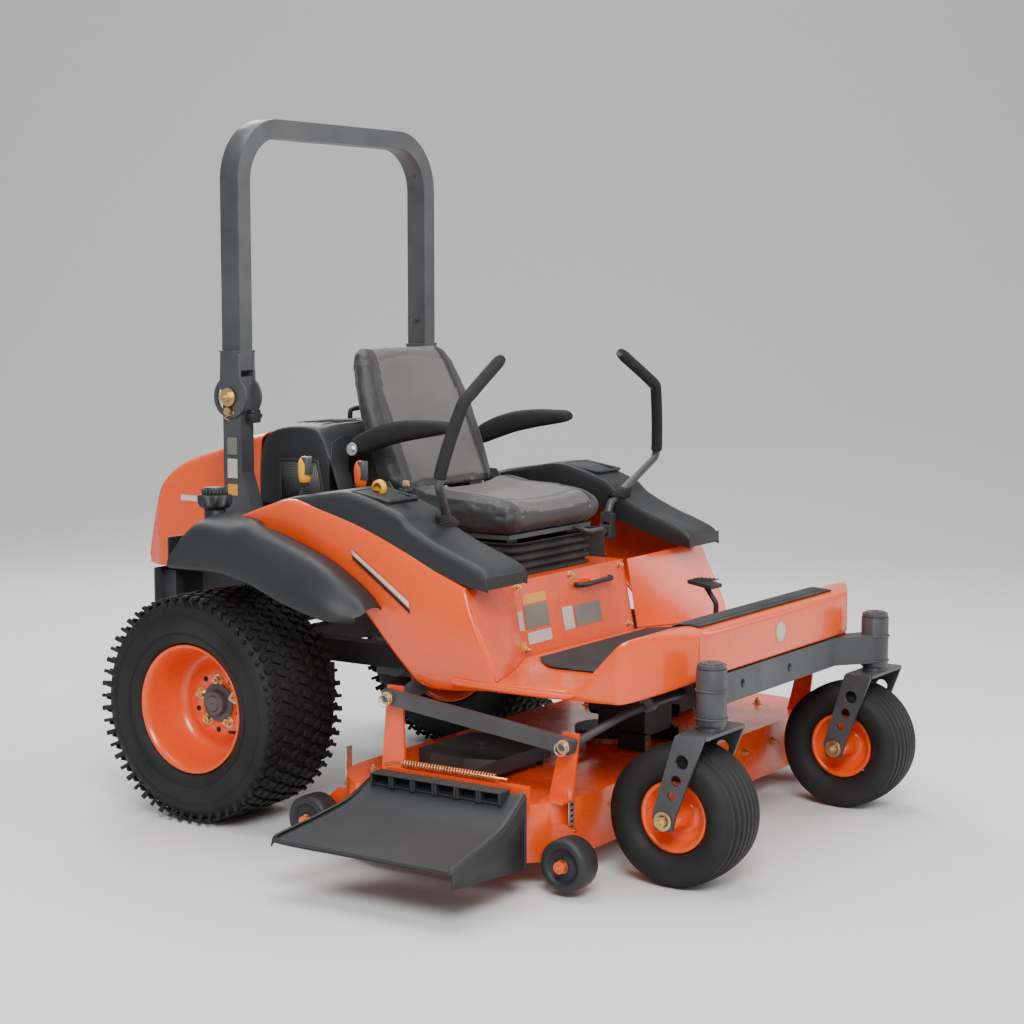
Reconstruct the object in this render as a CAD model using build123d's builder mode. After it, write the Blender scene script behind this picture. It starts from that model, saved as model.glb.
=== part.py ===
"""Ride-on zero turn mower: drive frame, casters, seat, roll bar and a three-blade deck.

Millimetres. +X is the machine's left, -Y its front and +Z up. Shapes are drawn from the rear
axle on the ground; write() moves them so the origin is under the middle of the whole machine.
"""

import os
from math import cos, radians, sin

from build123d import *

os.makedirs("parts", exist_ok=True)

# Rear wheels
rear_radius = 300.0
rear_width = 285.0
rear_outer_x = 710.0
rear_rim_radius = 165.0
rear_dish_depth = 118.0
tyre_wall = 11.0
fit = 0.3

# Casters
wheelbase = 1333.0
caster_radius = 168.0
caster_width = 165.0
caster_rim_radius = 84.0
caster_x = 456.0
caster_trail = 67.0
pivot_tube_radius = 36.0
pivot_tube_height = 131.0
spindle_radius = 16.0
fork_plate = 8.0
fork_gap = 12.0
tyre_to_fork = 29.0
axle_bolt_radius = 9.0

# Frame
rail_x = 275.0
rail_width = 50.0
rail_height = 60.0
rail_rear = 400.0
beam_half = 330.0
beam_setback = 55.0
beam_depth = 60.0
beam_bottom = 396.0
beam_top = 470.0
frame_plate = 8.0
tower_inner = 345.0
tower_outer = 408.0
tower_rear = 50.0
tower_front = -40.0

# Roll bar
rops_x = 415.0
rops_tube_x = 50.0
rops_tube_y = 63.0
rops_y = 60.0
rops_foot_z = 775.0
rops_post_top = 1150.0
rops_top = 1834.0
rops_corner = 170.0
rops_pivot_z = 1096.0
cheek_plate = 8.0
cheek_radius = 56.0
rops_bolt_radius = 9.0
lock_pin_radius = 6.5
lock_pin_reach = 38.0
fold_angle = 110.0
knob_radius = 20.0

# Platform and body panels
skin = 4.0
floor_z = 450.0
floor_half = 600.0
floor_rear = -768.0
floor_drop = 21.0
step_half = 400.0
step_lip = 2.0
step_top = 590.0
mat = 4.0
seat_box_half = 280.0
seat_box_top = 640.0
seat_box_rear = -330.0
cover_x = 590.0
fender_outer = 718.0
shroud_half = 330.0
hood_half = 320.0
panel_gap = 3.0

# Seat and controls
cushion_half = 245.0
cushion_front = -698.0
cushion_rear = -358.0
cushion_bottom = 748.0
back_half = 245.0
back_top = 1235.0
back_bottom = 842.0
back_thick = 80.0
arm_pivot_x = 262.0
arm_pivot_y = -250.0
arm_pivot_z = 960.0
arm_width = 56.0
lever_radius = 11.0
grip_radius = 15.0
hub_x = 380.0
hub_y = -615.0
hub_z = 700.0

# Deck
deck_left = 780.0
deck_right = -765.0
deck_front = -1120.0
deck_rear = -470.0
deck_top = 200.0
deck_skirt_z = 62.0
deck_corner = 200.0
deck_wall = 4.0
spindle_x = 500.0
spindle_y = -760.0
spindle_stagger = 90.0
blade_radius = 250.0
blade_z = 88.0
chute_front = -1110.0
chute_rear = -680.0
chute_wing = 90.0
chute_tip_x = -1075.0
chute_hinge_x = -785.0
chute_hinge_z = 245.0
gauge_radius = 62.0
gauge_x = 700.0
gauge_width = 70.0
gauge_offset = 48.0
lift_arm_y = 110.0
lift_arm_z = 79.0
rear_pin_y = -617.0
rear_pin_z = 393.0
front_pin_y = -1125.0
front_pin_z = 336.0
bar_x = 640.0
lift_arm_x = 556.0
lift_arm_plate = 10.0
bar_width = 24.0
link_pin_radius = 10.0

rail_top = floor_z - skin - fit

# The origin stands on the ground under the middle of the outer box.
axle_y = 0.0
caster_y = -wheelbase
caster_pivot_y = caster_y - caster_trail
beam_front = caster_pivot_y + beam_setback
step_front = beam_front - step_lip
hood_rear = 513.0
origin_x = (deck_left + chute_tip_x) / 2
origin_y = (hood_rear + caster_y - caster_radius) / 2
sides = {"left": 1, "right": -1}


def write(piece, name):
    """Labels a finished piece, moves it onto the shared origin and writes its STEP file."""
    placed = piece.part.moved(Location((-origin_x, -origin_y, 0)))
    placed.label = name
    export_step(placed, f"parts/{name}.step")


def side_plane(x):
    """Plane across the machine at x: local x runs rearwards (+Y) and local y runs up."""
    return Plane((x, 0, 0), x_dir=(0, 1, 0), z_dir=(1, 0, 0))


def wheel_plane(x, y, z):
    """Plane for a wheel's half section: local x along the axle, local y is the radius."""
    return Plane((x, y, z), x_dir=(1, 0, 0), z_dir=(0, -1, 0))


def outline(points, corner=0.0):
    """Adds a closed polygon to the open sketch, with every corner rounded by the same radius."""
    with BuildLine() as edge:
        Polyline(*points, close=True)
    made = make_face(edge.edges())
    if corner:
        fillet(made.vertices(), corner)


def side_slab(points, x_from, x_to, corner=0.0, mode=Mode.ADD):
    """Extrudes a side outline of (y, z) points between two x positions."""
    low, high = min(x_from, x_to), max(x_from, x_to)
    with BuildSketch(side_plane(low)) as profile:
        outline(points, corner)
    extrude(profile.sketch, amount=high - low, mode=mode)


def plan_slab(points, z_from, z_to, corner=0.0, mode=Mode.ADD):
    """Extrudes a plan outline of (x, y) points between two heights."""
    with BuildSketch(Plane.XY.offset(z_from)) as profile:
        outline(points, corner)
    extrude(profile.sketch, amount=z_to - z_from, mode=mode)


def block(x_from, x_to, y_from, y_to, z_from, z_to, mode=Mode.ADD):
    """Adds a box between two corners given in any order."""
    size = (abs(x_to - x_from), abs(y_to - y_from), abs(z_to - z_from))
    with Locations(((x_from + x_to) / 2, (y_from + y_to) / 2, (z_from + z_to) / 2)):
        Box(*size, mode=mode)


def rod_x(x_from, x_to, y, z, radius, mode=Mode.ADD):
    """Adds a round bar that lies across the machine."""
    low, high = min(x_from, x_to), max(x_from, x_to)
    with BuildSketch(side_plane(low)) as profile:
        with Locations((y, z)):
            Circle(radius)
    extrude(profile.sketch, amount=high - low, mode=mode)


def rod_z(x, y, z_from, z_to, radius, mode=Mode.ADD):
    """Adds a round bar that stands upright."""
    with BuildSketch(Plane.XY.offset(z_from)) as profile:
        with Locations((x, y)):
            Circle(radius)
    extrude(profile.sketch, amount=z_to - z_from, mode=mode)


def rod_y(x, z, y_from, y_to, radius, mode=Mode.ADD):
    """Adds a round bar that lies along the machine, from the front y to the rear y."""
    with BuildSketch(Plane((0, y_from, 0), x_dir=(-1, 0, 0), z_dir=(0, 1, 0))) as profile:
        with Locations((-x, z)):
            Circle(radius)
    extrude(profile.sketch, amount=y_to - y_from, mode=mode)


def bent_tube(points, bend, radius):
    """Sweeps a round bar along a route whose corners are bent to one radius."""
    with BuildLine() as route:
        FilletPolyline(*points, radius=bend)
    with BuildSketch(Plane(route.line @ 0, z_dir=route.line % 0)) as section:
        Circle(radius)
    sweep(section.sketch, path=route.line)


def tyre(x, y, z, radius, width, bore, lip, shoulder):
    """A hollow tyre: tread, rounded shoulders and two beads that grip the rim."""
    half = width / 2
    bead = half * 0.80
    plane = wheel_plane(x, y, z)
    axle = Axis((x, y, z), (1, 0, 0))
    with BuildSketch(plane) as carcass:
        with BuildLine():
            Polyline((-bead, bore), (-bead, lip), (-half, lip + shoulder), (-half, radius - shoulder),
                     (-half + shoulder, radius), (half - shoulder, radius), (half, radius - shoulder),
                     (half, lip + shoulder), (bead, lip), (bead, bore), close=True)
        make_face()
    revolve(carcass.sketch, axis=axle)
    with BuildSketch(plane) as hollow:
        inner_bore = bore - 1
        with BuildLine():
            Polyline((-bead + tyre_wall, inner_bore), (-bead + tyre_wall, lip + shoulder * 0.6),
                     (-half + tyre_wall, lip + shoulder + tyre_wall),
                     (-half + tyre_wall, radius - shoulder - tyre_wall / 2),
                     (-half + shoulder, radius - tyre_wall * 1.6),
                     (half - shoulder, radius - tyre_wall * 1.6),
                     (half - tyre_wall, radius - shoulder - tyre_wall / 2),
                     (half - tyre_wall, lip + shoulder + tyre_wall),
                     (bead - tyre_wall, lip + shoulder * 0.6), (bead - tyre_wall, inner_bore), close=True)
        make_face()
    revolve(hollow.sketch, axis=axle, mode=Mode.SUBTRACT)


def disc_stack(x, y, z, steps, mode=Mode.ADD):
    """Revolves a list of (x offset from, to, inner radius, outer radius) rings about an axle."""
    for start, end, inner, outer in steps:
        with BuildSketch(wheel_plane(x, y, z)) as ring:
            with Locations(((start + end) / 2, (inner + outer) / 2)):
                Rectangle(end - start, outer - inner)
        revolve(ring.sketch, axis=Axis((x, y, z), (1, 0, 0)), mode=mode)


def slot_path():
    """The lock pin's path in a cheek plate, seen from the fold pivot."""
    with BuildLine(mode=Mode.PRIVATE) as path:
        CenterArc((0, 0), lock_pin_reach, -92, fold_angle + 4)
    return path.edges()[0]


# Rear wheels: tyre, dished rim with hub plate, and the axle stub that turns with the rim.
rear_inner_x = rear_outer_x - rear_width
rear_mid_x = (rear_outer_x + rear_inner_x) / 2
rear_barrel = rear_rim_radius - 17
rear_disc_x = rear_outer_x - rear_dish_depth
motor_face_x = 402.0
axle_shaft_radius = 19.0
lug_circle = 57.0
for side, s in sides.items():
    with BuildPart() as rear_tyre:
        tyre(s * rear_mid_x, axle_y, rear_radius, rear_radius, rear_width, rear_barrel + fit,
             rear_rim_radius + 1, 26)
    write(rear_tyre, f"rear_tyre_{side}")
    half = rear_width / 2
    disc = rear_disc_x - rear_mid_x
    with BuildPart() as rear_rim:
        disc_stack(s * rear_mid_x, axle_y, rear_radius, [
            (-half * 0.8 - 5, half * 0.8 + 5, rear_barrel - 4, rear_barrel),
            (-half * 0.8 - 5, -half * 0.8 - fit, rear_barrel - 4, rear_rim_radius),
            (half * 0.8 + fit, half * 0.8 + 5, rear_barrel - 4, rear_rim_radius),
            (s * disc - 3, s * disc + 3, axle_shaft_radius, rear_barrel - 3)])
        for turn in range(5):
            angle = radians(72 * turn + 18)
            rod_x(s * (rear_disc_x - 9), s * (rear_disc_x + 9), axle_y + lug_circle * cos(angle),
                  rear_radius + lug_circle * sin(angle), 8, mode=Mode.SUBTRACT)
        disc_stack(s * rear_disc_x, axle_y, rear_radius, [(min(-s * 3, -s * 24), max(-s * 3, -s * 24), 0, 42)])
        rod_x(s * (motor_face_x - 40), s * (rear_disc_x + 22), axle_y, rear_radius, axle_shaft_radius)
        rod_x(s * (rear_disc_x + 3), s * (rear_disc_x + 14), axle_y, rear_radius, 33)
    write(rear_rim, f"rear_rim_{side}")

# Casters: fork with its upright spindle, tyre and rim.
fork_half = caster_width / 2 + fork_gap
fork_top = caster_radius * 2 + tyre_to_fork + fork_plate
tube_bottom = fork_top + 11
tube_top = tube_bottom + pivot_tube_height
for side, s in sides.items():
    x = s * caster_x
    with BuildPart() as fork:
        block(x - fork_half, x + fork_half, caster_pivot_y - 38, caster_pivot_y + 38,
              fork_top - fork_plate, fork_top)
        for face in (-1, 1):
            inner = x + face * fork_half
            outer = inner + face * fork_plate
            arm = [(caster_pivot_y - 38, fork_top), (caster_pivot_y + 38, fork_top),
                   (caster_y + 30, caster_radius + 10), (caster_y + 22, caster_radius - 24),
                   (caster_y - 22, caster_radius - 24), (caster_y - 30, caster_radius + 10)]
            side_slab(arm, inner, outer, corner=7)
            for share, hole in ((0.30, 17), (0.52, 13), (0.70, 10)):
                rod_x(inner - face, outer + face,
                      caster_pivot_y + (caster_y - caster_pivot_y) * share,
                      fork_top + (caster_radius - fork_top) * share, hole, mode=Mode.SUBTRACT)
        rod_x(x - fork_half - 20, x + fork_half + 20, caster_y, caster_radius, axle_bolt_radius)
        for face in (-1, 1):
            near = x + face * (fork_half + fork_plate)
            rod_x(near, near + face * 9, caster_y, caster_radius, 15)
        rod_z(x, caster_pivot_y, fork_top, tube_bottom - fit, pivot_tube_radius - 5)
        rod_z(x, caster_pivot_y, fork_top, tube_top + fit, spindle_radius)
        rod_z(x, caster_pivot_y, tube_top + fit, tube_top + 9, pivot_tube_radius - 3)
    write(fork, f"caster_fork_{side}")
    caster_bore = caster_rim_radius - 12
    with BuildPart() as caster_tyre:
        tyre(x, caster_y, caster_radius, caster_radius, caster_width, caster_bore + fit,
             caster_rim_radius + 1, 18)
    write(caster_tyre, f"caster_tyre_{side}")
    half = caster_width / 2
    with BuildPart() as caster_rim:
        disc_stack(x, caster_y, caster_radius, [
            (-half * 0.8 - 4, half * 0.8 + 4, caster_bore - 4, caster_bore),
            (-half * 0.8 - 4, -half * 0.8 - fit, caster_bore - 4, caster_rim_radius),
            (half * 0.8 + fit, half * 0.8 + 4, caster_bore - 4, caster_rim_radius),
            (-3, 3, axle_bolt_radius + 8, caster_bore - 3),
            (1 - fork_half, fork_half - 1, axle_bolt_radius + 0.5, axle_bolt_radius + 12)])
    write(caster_rim, f"caster_rim_{side}")

# Frame: two rails, cross members, roll bar towers, rear guard and the pivots that carry the deck.
rail_bottom = rail_top - rail_height
rail_inner = rail_x - rail_width / 2
rail_outer = rail_x + rail_width / 2
beam_rear = beam_front + beam_depth
arm_front_y = front_pin_y - lift_arm_y
arm_front_z = front_pin_z + lift_arm_z
arm_rear_y = rear_pin_y - lift_arm_y
arm_rear_z = rear_pin_z + lift_arm_z
tower_top = rops_foot_z - 10
guard_rear = 462.0
hinge_y = 488.0
hinge_z = 598.0
with BuildPart() as main_frame:
    for s in sides.values():
        block(s * rail_inner, s * rail_outer, beam_rear, rail_rear, rail_bottom, rail_top)
        block(s * rail_inner, s * tower_outer, tower_front, tower_rear, rail_bottom, rail_top)
        block(s * tower_inner, s * tower_outer, tower_front, tower_rear, rail_top, tower_top)
        block(s * tower_inner, s * (rops_x + rops_tube_x / 2), tower_front, rops_y + 30,
              tower_top, rops_foot_z)
        block(s * rail_outer, s * (rail_outer + frame_plate), arm_rear_y - 30, arm_rear_y + 30,
              rail_bottom, arm_rear_z + 26)
        rod_x(s * rail_outer, s * (lift_arm_x - fit), arm_rear_y, arm_rear_z, 11)
        rod_x(s * rail_outer, s * (caster_x + 12), arm_front_y, arm_front_z, 11)
        block(s * rail_outer, s * (seat_box_half + 60), hub_y - 34, hub_y + 34, rail_bottom, rail_top)
        block(s * (seat_box_half + 25), s * (seat_box_half + 33), hub_y - 30, hub_y + 30,
              rail_top, hub_z + 20)
        rod_x(s * (seat_box_half + 33), s * (hub_x + 18), hub_y, hub_z, 10)
        block(s * 120, s * hood_half, guard_rear, guard_rear + 5, 470, 594)
        block(s * rail_inner, s * rail_outer, rail_rear, guard_rear, rail_bottom, rail_top)
        block(s * rail_inner, s * (rail_inner + 30), rail_rear + 20, guard_rear, rail_top, 585)
        block(s * (230 + fit), s * 240, guard_rear, hinge_y + 8, 575, hinge_z + 5)
    for cross_y in (-1150, -560, 20, 360):
        block(-rail_inner, rail_inner, cross_y - 25, cross_y + 25, rail_bottom, rail_top)
write(main_frame, "main_frame")

with BuildPart() as beam:
    block(-beam_half, beam_half, beam_front, beam_rear, beam_bottom, beam_top)
    for s in sides.values():
        knee = [(s * (beam_half - 1), beam_front), (s * (beam_half - 1), beam_rear),
                (s * (caster_x + 14), caster_pivot_y + 30), (s * (caster_x - 14), caster_pivot_y - 30)]
        plan_slab(knee, beam_bottom, beam_top)
        rod_z(s * caster_x, caster_pivot_y, tube_bottom, tube_top, pivot_tube_radius)
    for s in sides.values():
        rod_z(s * caster_x, caster_pivot_y, tube_bottom - 1, tube_top + 1, spindle_radius + 0.5,
              mode=Mode.SUBTRACT)
    for x in (-194, 60):
        rod_y(x, (beam_bottom + beam_top) / 2, beam_front - 1, beam_front + 12, 11, mode=Mode.SUBTRACT)
write(beam, "front_axle_beam")

# Roll bar: fixed lower posts, folding hoop with slotted cheek plates, lock pins and clamp knobs.
post_front = rops_y - rops_tube_y / 2
post_rear = rops_y + rops_tube_y / 2
pin_y = rops_y
pin_z = rops_pivot_z - lock_pin_reach
tube_half = rops_tube_x / 2
with BuildPart() as posts:
    for s in sides.values():
        foot = [(post_front - 40, rops_foot_z), (post_rear - 2, rops_foot_z),
                (post_rear, rops_foot_z + 120), (post_rear, rops_post_top),
                (post_front, rops_post_top), (post_front, rops_foot_z + 120)]
        side_slab(foot, s * (rops_x - tube_half), s * (rops_x + tube_half))
        rod_x(s * (rops_x - tube_half - 30), s * (rops_x + tube_half + 30), pin_y, pin_z,
              lock_pin_radius + 0.5, mode=Mode.SUBTRACT)
        rod_x(s * (rops_x - tube_half - 16), s * (rops_x + tube_half + 16), rops_y, rops_pivot_z,
              rops_bolt_radius)
        for face in (-1, 1):
            near = s * rops_x + face * (tube_half + cheek_plate + 1)
            rod_x(near, near + face * 7, rops_y, rops_pivot_z, 15)
        rod_y(s * rops_x, pin_z - 12, post_front - 1, post_front + 26, 5.5, mode=Mode.SUBTRACT)
write(posts, "rops_posts")

leg_bottom = rops_post_top + 16
with BuildPart() as hoop:
    for reach, mode in ((tube_half, Mode.ADD), (-tube_half, Mode.SUBTRACT)):
        top = rops_top - tube_half + reach
        with BuildSketch(Plane.XZ.offset(-post_front)) as loop:
            with Locations((0, (leg_bottom + top) / 2)):
                Rectangle(2 * (rops_x + reach), top - leg_bottom)
            fillet(loop.vertices().group_by(Axis.Y)[-1], rops_corner + reach - tube_half)
        extrude(loop.sketch, amount=-rops_tube_y, mode=mode)
    for s in sides.values():
        for face in (-1, 1):
            near = s * rops_x + face * (tube_half + 0.5)
            far = near + face * cheek_plate
            side_slab([(post_front - 4, rops_pivot_z), (post_rear + 4, rops_pivot_z),
                       (post_rear, leg_bottom + 50), (post_front, leg_bottom + 50)], near, far)
            rod_x(near, far, rops_y, rops_pivot_z, cheek_radius)
    for s in sides.values():
        for face in (-1, 1):
            near = s * rops_x + face * tube_half
            far = near + face * (cheek_plate + 1)
            rod_x(near, far, rops_y, rops_pivot_z, rops_bolt_radius + 0.5, mode=Mode.SUBTRACT)
            with BuildSketch(side_plane(min(near, far))):
                with Locations((rops_y, rops_pivot_z)):
                    SlotArc(slot_path(), (lock_pin_radius + 0.5) * 2)
            extrude(amount=abs(far - near), mode=Mode.SUBTRACT)
        weld = s * rops_x
        block(weld - tube_half - 0.5, weld + tube_half + 0.5, post_front, post_rear,
              leg_bottom, leg_bottom + 30)
write(hoop, "rops_hoop")

# Lock pins hold the hoop upright; each is drawn outwards through post, cheeks and slot.
# Clamp knobs press on the post from the front.
for side, s in sides.items():
    with BuildPart() as lock_pin:
        rod_x(s * (rops_x - tube_half - 14), s * (rops_x + tube_half + 14), pin_y, pin_z, lock_pin_radius)
        rod_x(s * (rops_x + tube_half + 14), s * (rops_x + tube_half + 22), pin_y, pin_z, 11)
    write(lock_pin, f"rops_lock_pin_{side}")
    with BuildPart() as knob:
        rod_y(s * rops_x, pin_z - 12, post_front - 12, post_front + 25, 5)
        for turn in range(6):
            angle = radians(60 * turn)
            rod_y(s * rops_x + 13 * cos(angle), pin_z - 12 + 13 * sin(angle), post_front - 36,
                  post_front - 12, knob_radius - 13)
        rod_y(s * rops_x, pin_z - 12, post_front - 36, post_front - 12, 14)
    write(knob, f"rops_knob_{side}")

# Foot platform: flat floor, ramp up to a raised front step, deep skirts and a front panel.
ramp_foot = -1100.0
ramp_head = -1250.0
skirt_end = -1236.0
skirt_bottom = floor_z - floor_drop
floor_profile = [(floor_rear, floor_z), (ramp_foot, floor_z), (ramp_head, step_top),
                 (step_front, step_top - 12), (step_front, beam_top + 5), (skirt_end, skirt_bottom + 4),
                 (-891, skirt_bottom), (floor_rear, skirt_bottom + 14)]
plan = [(-floor_half, floor_rear), (-floor_half, skirt_end), (-step_half, step_front),
        (step_half, step_front), (floor_half, skirt_end), (floor_half, floor_rear)]
inner_profile = [(floor_rear - 1, floor_z - skin), (ramp_foot + 2, floor_z - skin),
                 (ramp_head + 2, step_top - skin - 2), (step_front + skin, step_top - 14 - skin),
                 (step_front + skin, 300), (floor_rear - 1, 300)]
inner_plan = [(-floor_half + skin, floor_rear + 60), (-floor_half + skin, skirt_end + 2),
              (-step_half + 2, step_front + skin), (step_half - 2, step_front + skin),
              (floor_half - skin, skirt_end + 2), (floor_half - skin, floor_rear + 60)]
with BuildPart() as platform:
    side_slab(floor_profile, -floor_half, floor_half)
    with BuildSketch(Plane.XY.offset(300)) as shape:
        outline(plan)
    extrude(shape.sketch, amount=400, mode=Mode.INTERSECT)
    with BuildPart(mode=Mode.PRIVATE) as hollow:
        side_slab(inner_profile, -floor_half, floor_half)
        side_slab([(floor_rear - 2, floor_z - skin), (floor_rear + 70, floor_z - skin),
                   (floor_rear + 70, 300), (floor_rear - 2, 300)], -floor_half, floor_half)
        with BuildSketch(Plane.XY.offset(300)) as inside:
            outline(inner_plan)
        extrude(inside.sketch, amount=400, mode=Mode.INTERSECT)
    add(hollow.part, mode=Mode.SUBTRACT)
write(platform, "floor_platform")

mat_profile = [(floor_rear - 62, floor_z + fit), (ramp_foot, floor_z + fit),
               (ramp_head, step_top + fit), (step_front + 34, step_top - 7 + fit),
               (step_front + 34, step_top - 7 + mat), (ramp_head - 2, step_top + fit + mat),
               (ramp_foot - 2, floor_z + fit + mat), (floor_rear - 62, floor_z + fit + mat)]
with BuildPart() as floor_mat:
    side_slab(mat_profile, -360, 360)
write(floor_mat, "floor_mat")

# Seat box and the two side covers, whose front faces close the gap beside it.
with BuildPart() as seat_box:
    outer = [(floor_rear + 6, rail_top + fit), (floor_rear + 44, seat_box_top),
             (seat_box_rear, seat_box_top), (seat_box_rear, rail_top + fit)]
    inner = [(floor_rear + 6 + skin, rail_top - 5), (floor_rear + 44 + skin, seat_box_top - skin),
             (seat_box_rear - skin, seat_box_top - skin), (seat_box_rear - skin, rail_top - 5)]
    side_slab(outer, -seat_box_half, seat_box_half)
    side_slab(inner, skin - seat_box_half, seat_box_half - skin, mode=Mode.SUBTRACT)
    side_slab([(floor_rear + 42, 600), (floor_rear + 12, 600), (floor_rear + 12, 612),
               (floor_rear + 44, 612)], 60, 150, corner=4)
write(seat_box, "seat_box")

arch = [(-100, 800), (-290, 730), (-490, 606), (-600, 486), (-675, 414), (-890, 428)]
crown = [(-773, 674), (-720, 699), (-600, 752), (-482, 796), (-259, 848)]


def cover_section(x_out, x_in, z):
    """One level of a side cover: outer skin and slanted front face as a thin L."""
    crease = -773 - (674 - z) * 0.53
    corner = -738 - (640 - z) * 0.2
    return [(x_out, -60), (x_out, crease), (x_in, corner), (x_in, corner + skin),
            (x_out - (x_out - x_in) / abs(x_out - x_in) * skin, crease + skin),
            (x_out - (x_out - x_in) / abs(x_out - x_in) * skin, -60)]


for side, s in sides.items():
    with BuildPart() as cover:
        for level in (floor_z + fit, 860):
            with BuildSketch(Plane.XY.offset(level)):
                outline(cover_section(s * cover_x, s * (seat_box_half + panel_gap), level))
        loft(ruled=True)
        low, high = sorted((s * 200, s * 700))
        with BuildSketch(side_plane(low)) as trim:
            outline(arch + [(-905, 455), (-900, 640), (-773, 674)] + crown[1:])
        extrude(trim.sketch, amount=high - low, mode=Mode.INTERSECT)
    write(cover, f"side_cover_{side}")

# Fenders over the rear tyres, with a flat rear deck for the filler, and the tanks under it.
fender_in = cover_x + fit
arch_outer = [(51, 749), (-37, 807), (-231, 779), (-357, 738), (-485, 673), (-557, 620), (-548, 581)]
arch_inner = [(-459, 577), (-355, 602), (-231, 653), (-140, 676), (-15, 664)]
cap_x = 560.0
cap_y = 32.0
neck_radius = 30.0
with BuildPart() as fenders:
    for s in sides.values():
        side_slab(arch_outer + arch_inner, s * fender_in, s * fender_outer)
        side_slab([(54, 700), (54, 749), (-37, 807), (-98, 808), (-98, 700)], s * 452, s * fender_in)
        side_slab([(49, 680), (44, 742), (-39, 795), (-231, 765), (-300, 740), (-300, 672), (-140, 690),
                   (-15, 680)], s * (fender_in + skin), s * (fender_outer - skin), mode=Mode.SUBTRACT)
        side_slab([(50, 600), (45, 742), (-39, 795), (-94, 795), (-94, 600)], s * (452 + skin),
                  s * (fender_in + 1), mode=Mode.SUBTRACT)
        rod_z(s * cap_x, cap_y - 14, 700, 830, neck_radius + 1, mode=Mode.SUBTRACT)
write(fenders, "fenders")

with BuildPart() as tanks:
    for s in sides.values():
        side_slab([(40, 692), (40, 735), (-41, 786), (-90, 786), (-90, 692)],
                  s * (452 + skin + fit), s * (fender_in - 2))
        rod_z(s * cap_x, cap_y - 14, 700, 812, neck_radius - 2)
write(tanks, "fuel_tanks")

with BuildPart() as fuel_cap:
    rod_z(-cap_x, cap_y - 14, 812 + fit, 868, 34)
    for turn in range(8):
        angle = radians(45 * turn)
        rod_z(-cap_x + 36 * cos(angle), cap_y - 14 + 36 * sin(angle), 838, 868, 9)
write(fuel_cap, "fuel_cap")

# Control consoles either side of the seat, with a storage bin sunk in the rear half.
console_inner = hub_x + 26.0
console_outer = cover_x - skin - fit
height_lever_x = -480.0
brake_lever_x = -376.0
hand_boss_half = 8.0
height_foot = (-190.0, 790.0)
brake_foot = (-330.0, 845.0)
with BuildPart() as consoles:
    for s in sides.values():
        side_slab([(-203, 851), (-421, 886), (-562, 850), (-632, 822), (-846, 724), (-856, 690),
                   (-770, 690), (-600, 700), (-440, 790), (-260, 838)],
                  s * console_inner, s * console_outer, corner=3)
        side_slab([(-218, 842), (-421, 881), (-560, 845), (-630, 816), (-840, 718), (-850, 660),
                   (-770, 660), (-600, 680), (-440, 770), (-265, 820)],
                  s * (console_inner + skin), s * (console_outer - skin), mode=Mode.SUBTRACT)
        block(s * (console_inner + 20), s * (console_outer - 20), -544, -436, 830, 868)
        block(s * (console_inner + 24), s * (console_outer - 24), -540, -440, 834, 900,
              mode=Mode.SUBTRACT)
        block(s * console_inner, s * (console_inner + 129), hub_y - 104, hub_y + 49, 744, 764)
        block(s * (console_inner - 1), s * (console_inner + 125), hub_y - 100, hub_y + 45, 748, 900,
              mode=Mode.SUBTRACT)
    near = height_lever_x - hand_boss_half - fit
    block(near, height_lever_x + hand_boss_half + fit, -268, -190, 780, 900, mode=Mode.SUBTRACT)
    side_slab([(-184, 782), (-198, 782), (-236, 836), (-236, 848), (-210, 848), (-184, 800)], near - 6, near)
    rod_x(-console_inner, brake_lever_x - hand_boss_half - fit, brake_foot[0], brake_foot[1], 6)
write(consoles, "consoles")

# Radiator behind the seat, under a black shroud with an open front arch and side meshes.
shroud_line = [(-225, 806), (-150, 1010), (-110, 1030), (30, 1010), (62, 948), (62, 806)]
with BuildPart() as shroud:
    side_slab(shroud_line, -shroud_half, shroud_half, corner=12)
    side_slab([(-219, 780), (-140, 1000), (-106, 1022), (26, 1003), (56, 944), (56, 780)],
              skin - shroud_half, shroud_half - skin, mode=Mode.SUBTRACT)
    with BuildSketch(Plane.XZ.offset(400)) as mouth:
        with Locations((0, 872)):
            Rectangle(500, 190)
        fillet(mouth.vertices().group_by(Axis.Y)[-1], 60)
    extrude(mouth.sketch, amount=-300, mode=Mode.SUBTRACT)
    for s in sides.values():
        side_slab([(-10, 815), (-10, 925), (-150, 925), (-165, 815)], s * (shroud_half - 10),
                  s * (shroud_half + 1), corner=10, mode=Mode.SUBTRACT)
    bent_tube([(-70, -50, 1020), (-70, -50, 1052), (70, -50, 1052), (70, -50, 1020)], 14, 6)
write(shroud, "radiator_shroud")

with BuildPart() as radiator:
    block(-270, 270, -20, 38, 500, 940)
    block(-290, 290, -12, 30, 470, 500)
    for s in sides.values():
        block(s * 270, s * 278, -20, 38, 500, 940)
        block(s * 290, s * 305, -12, 30, rail_top + fit, 500)
        block(s * 278, s * (shroud_half - skin - fit), 0, 20, 830, 850)
        side_slab([(-14, 812), (-14, 928), (-152, 928), (-168, 812)], s * (shroud_half - skin - 1.5),
                  s * (shroud_half - skin - fit))
write(radiator, "radiator")

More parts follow.
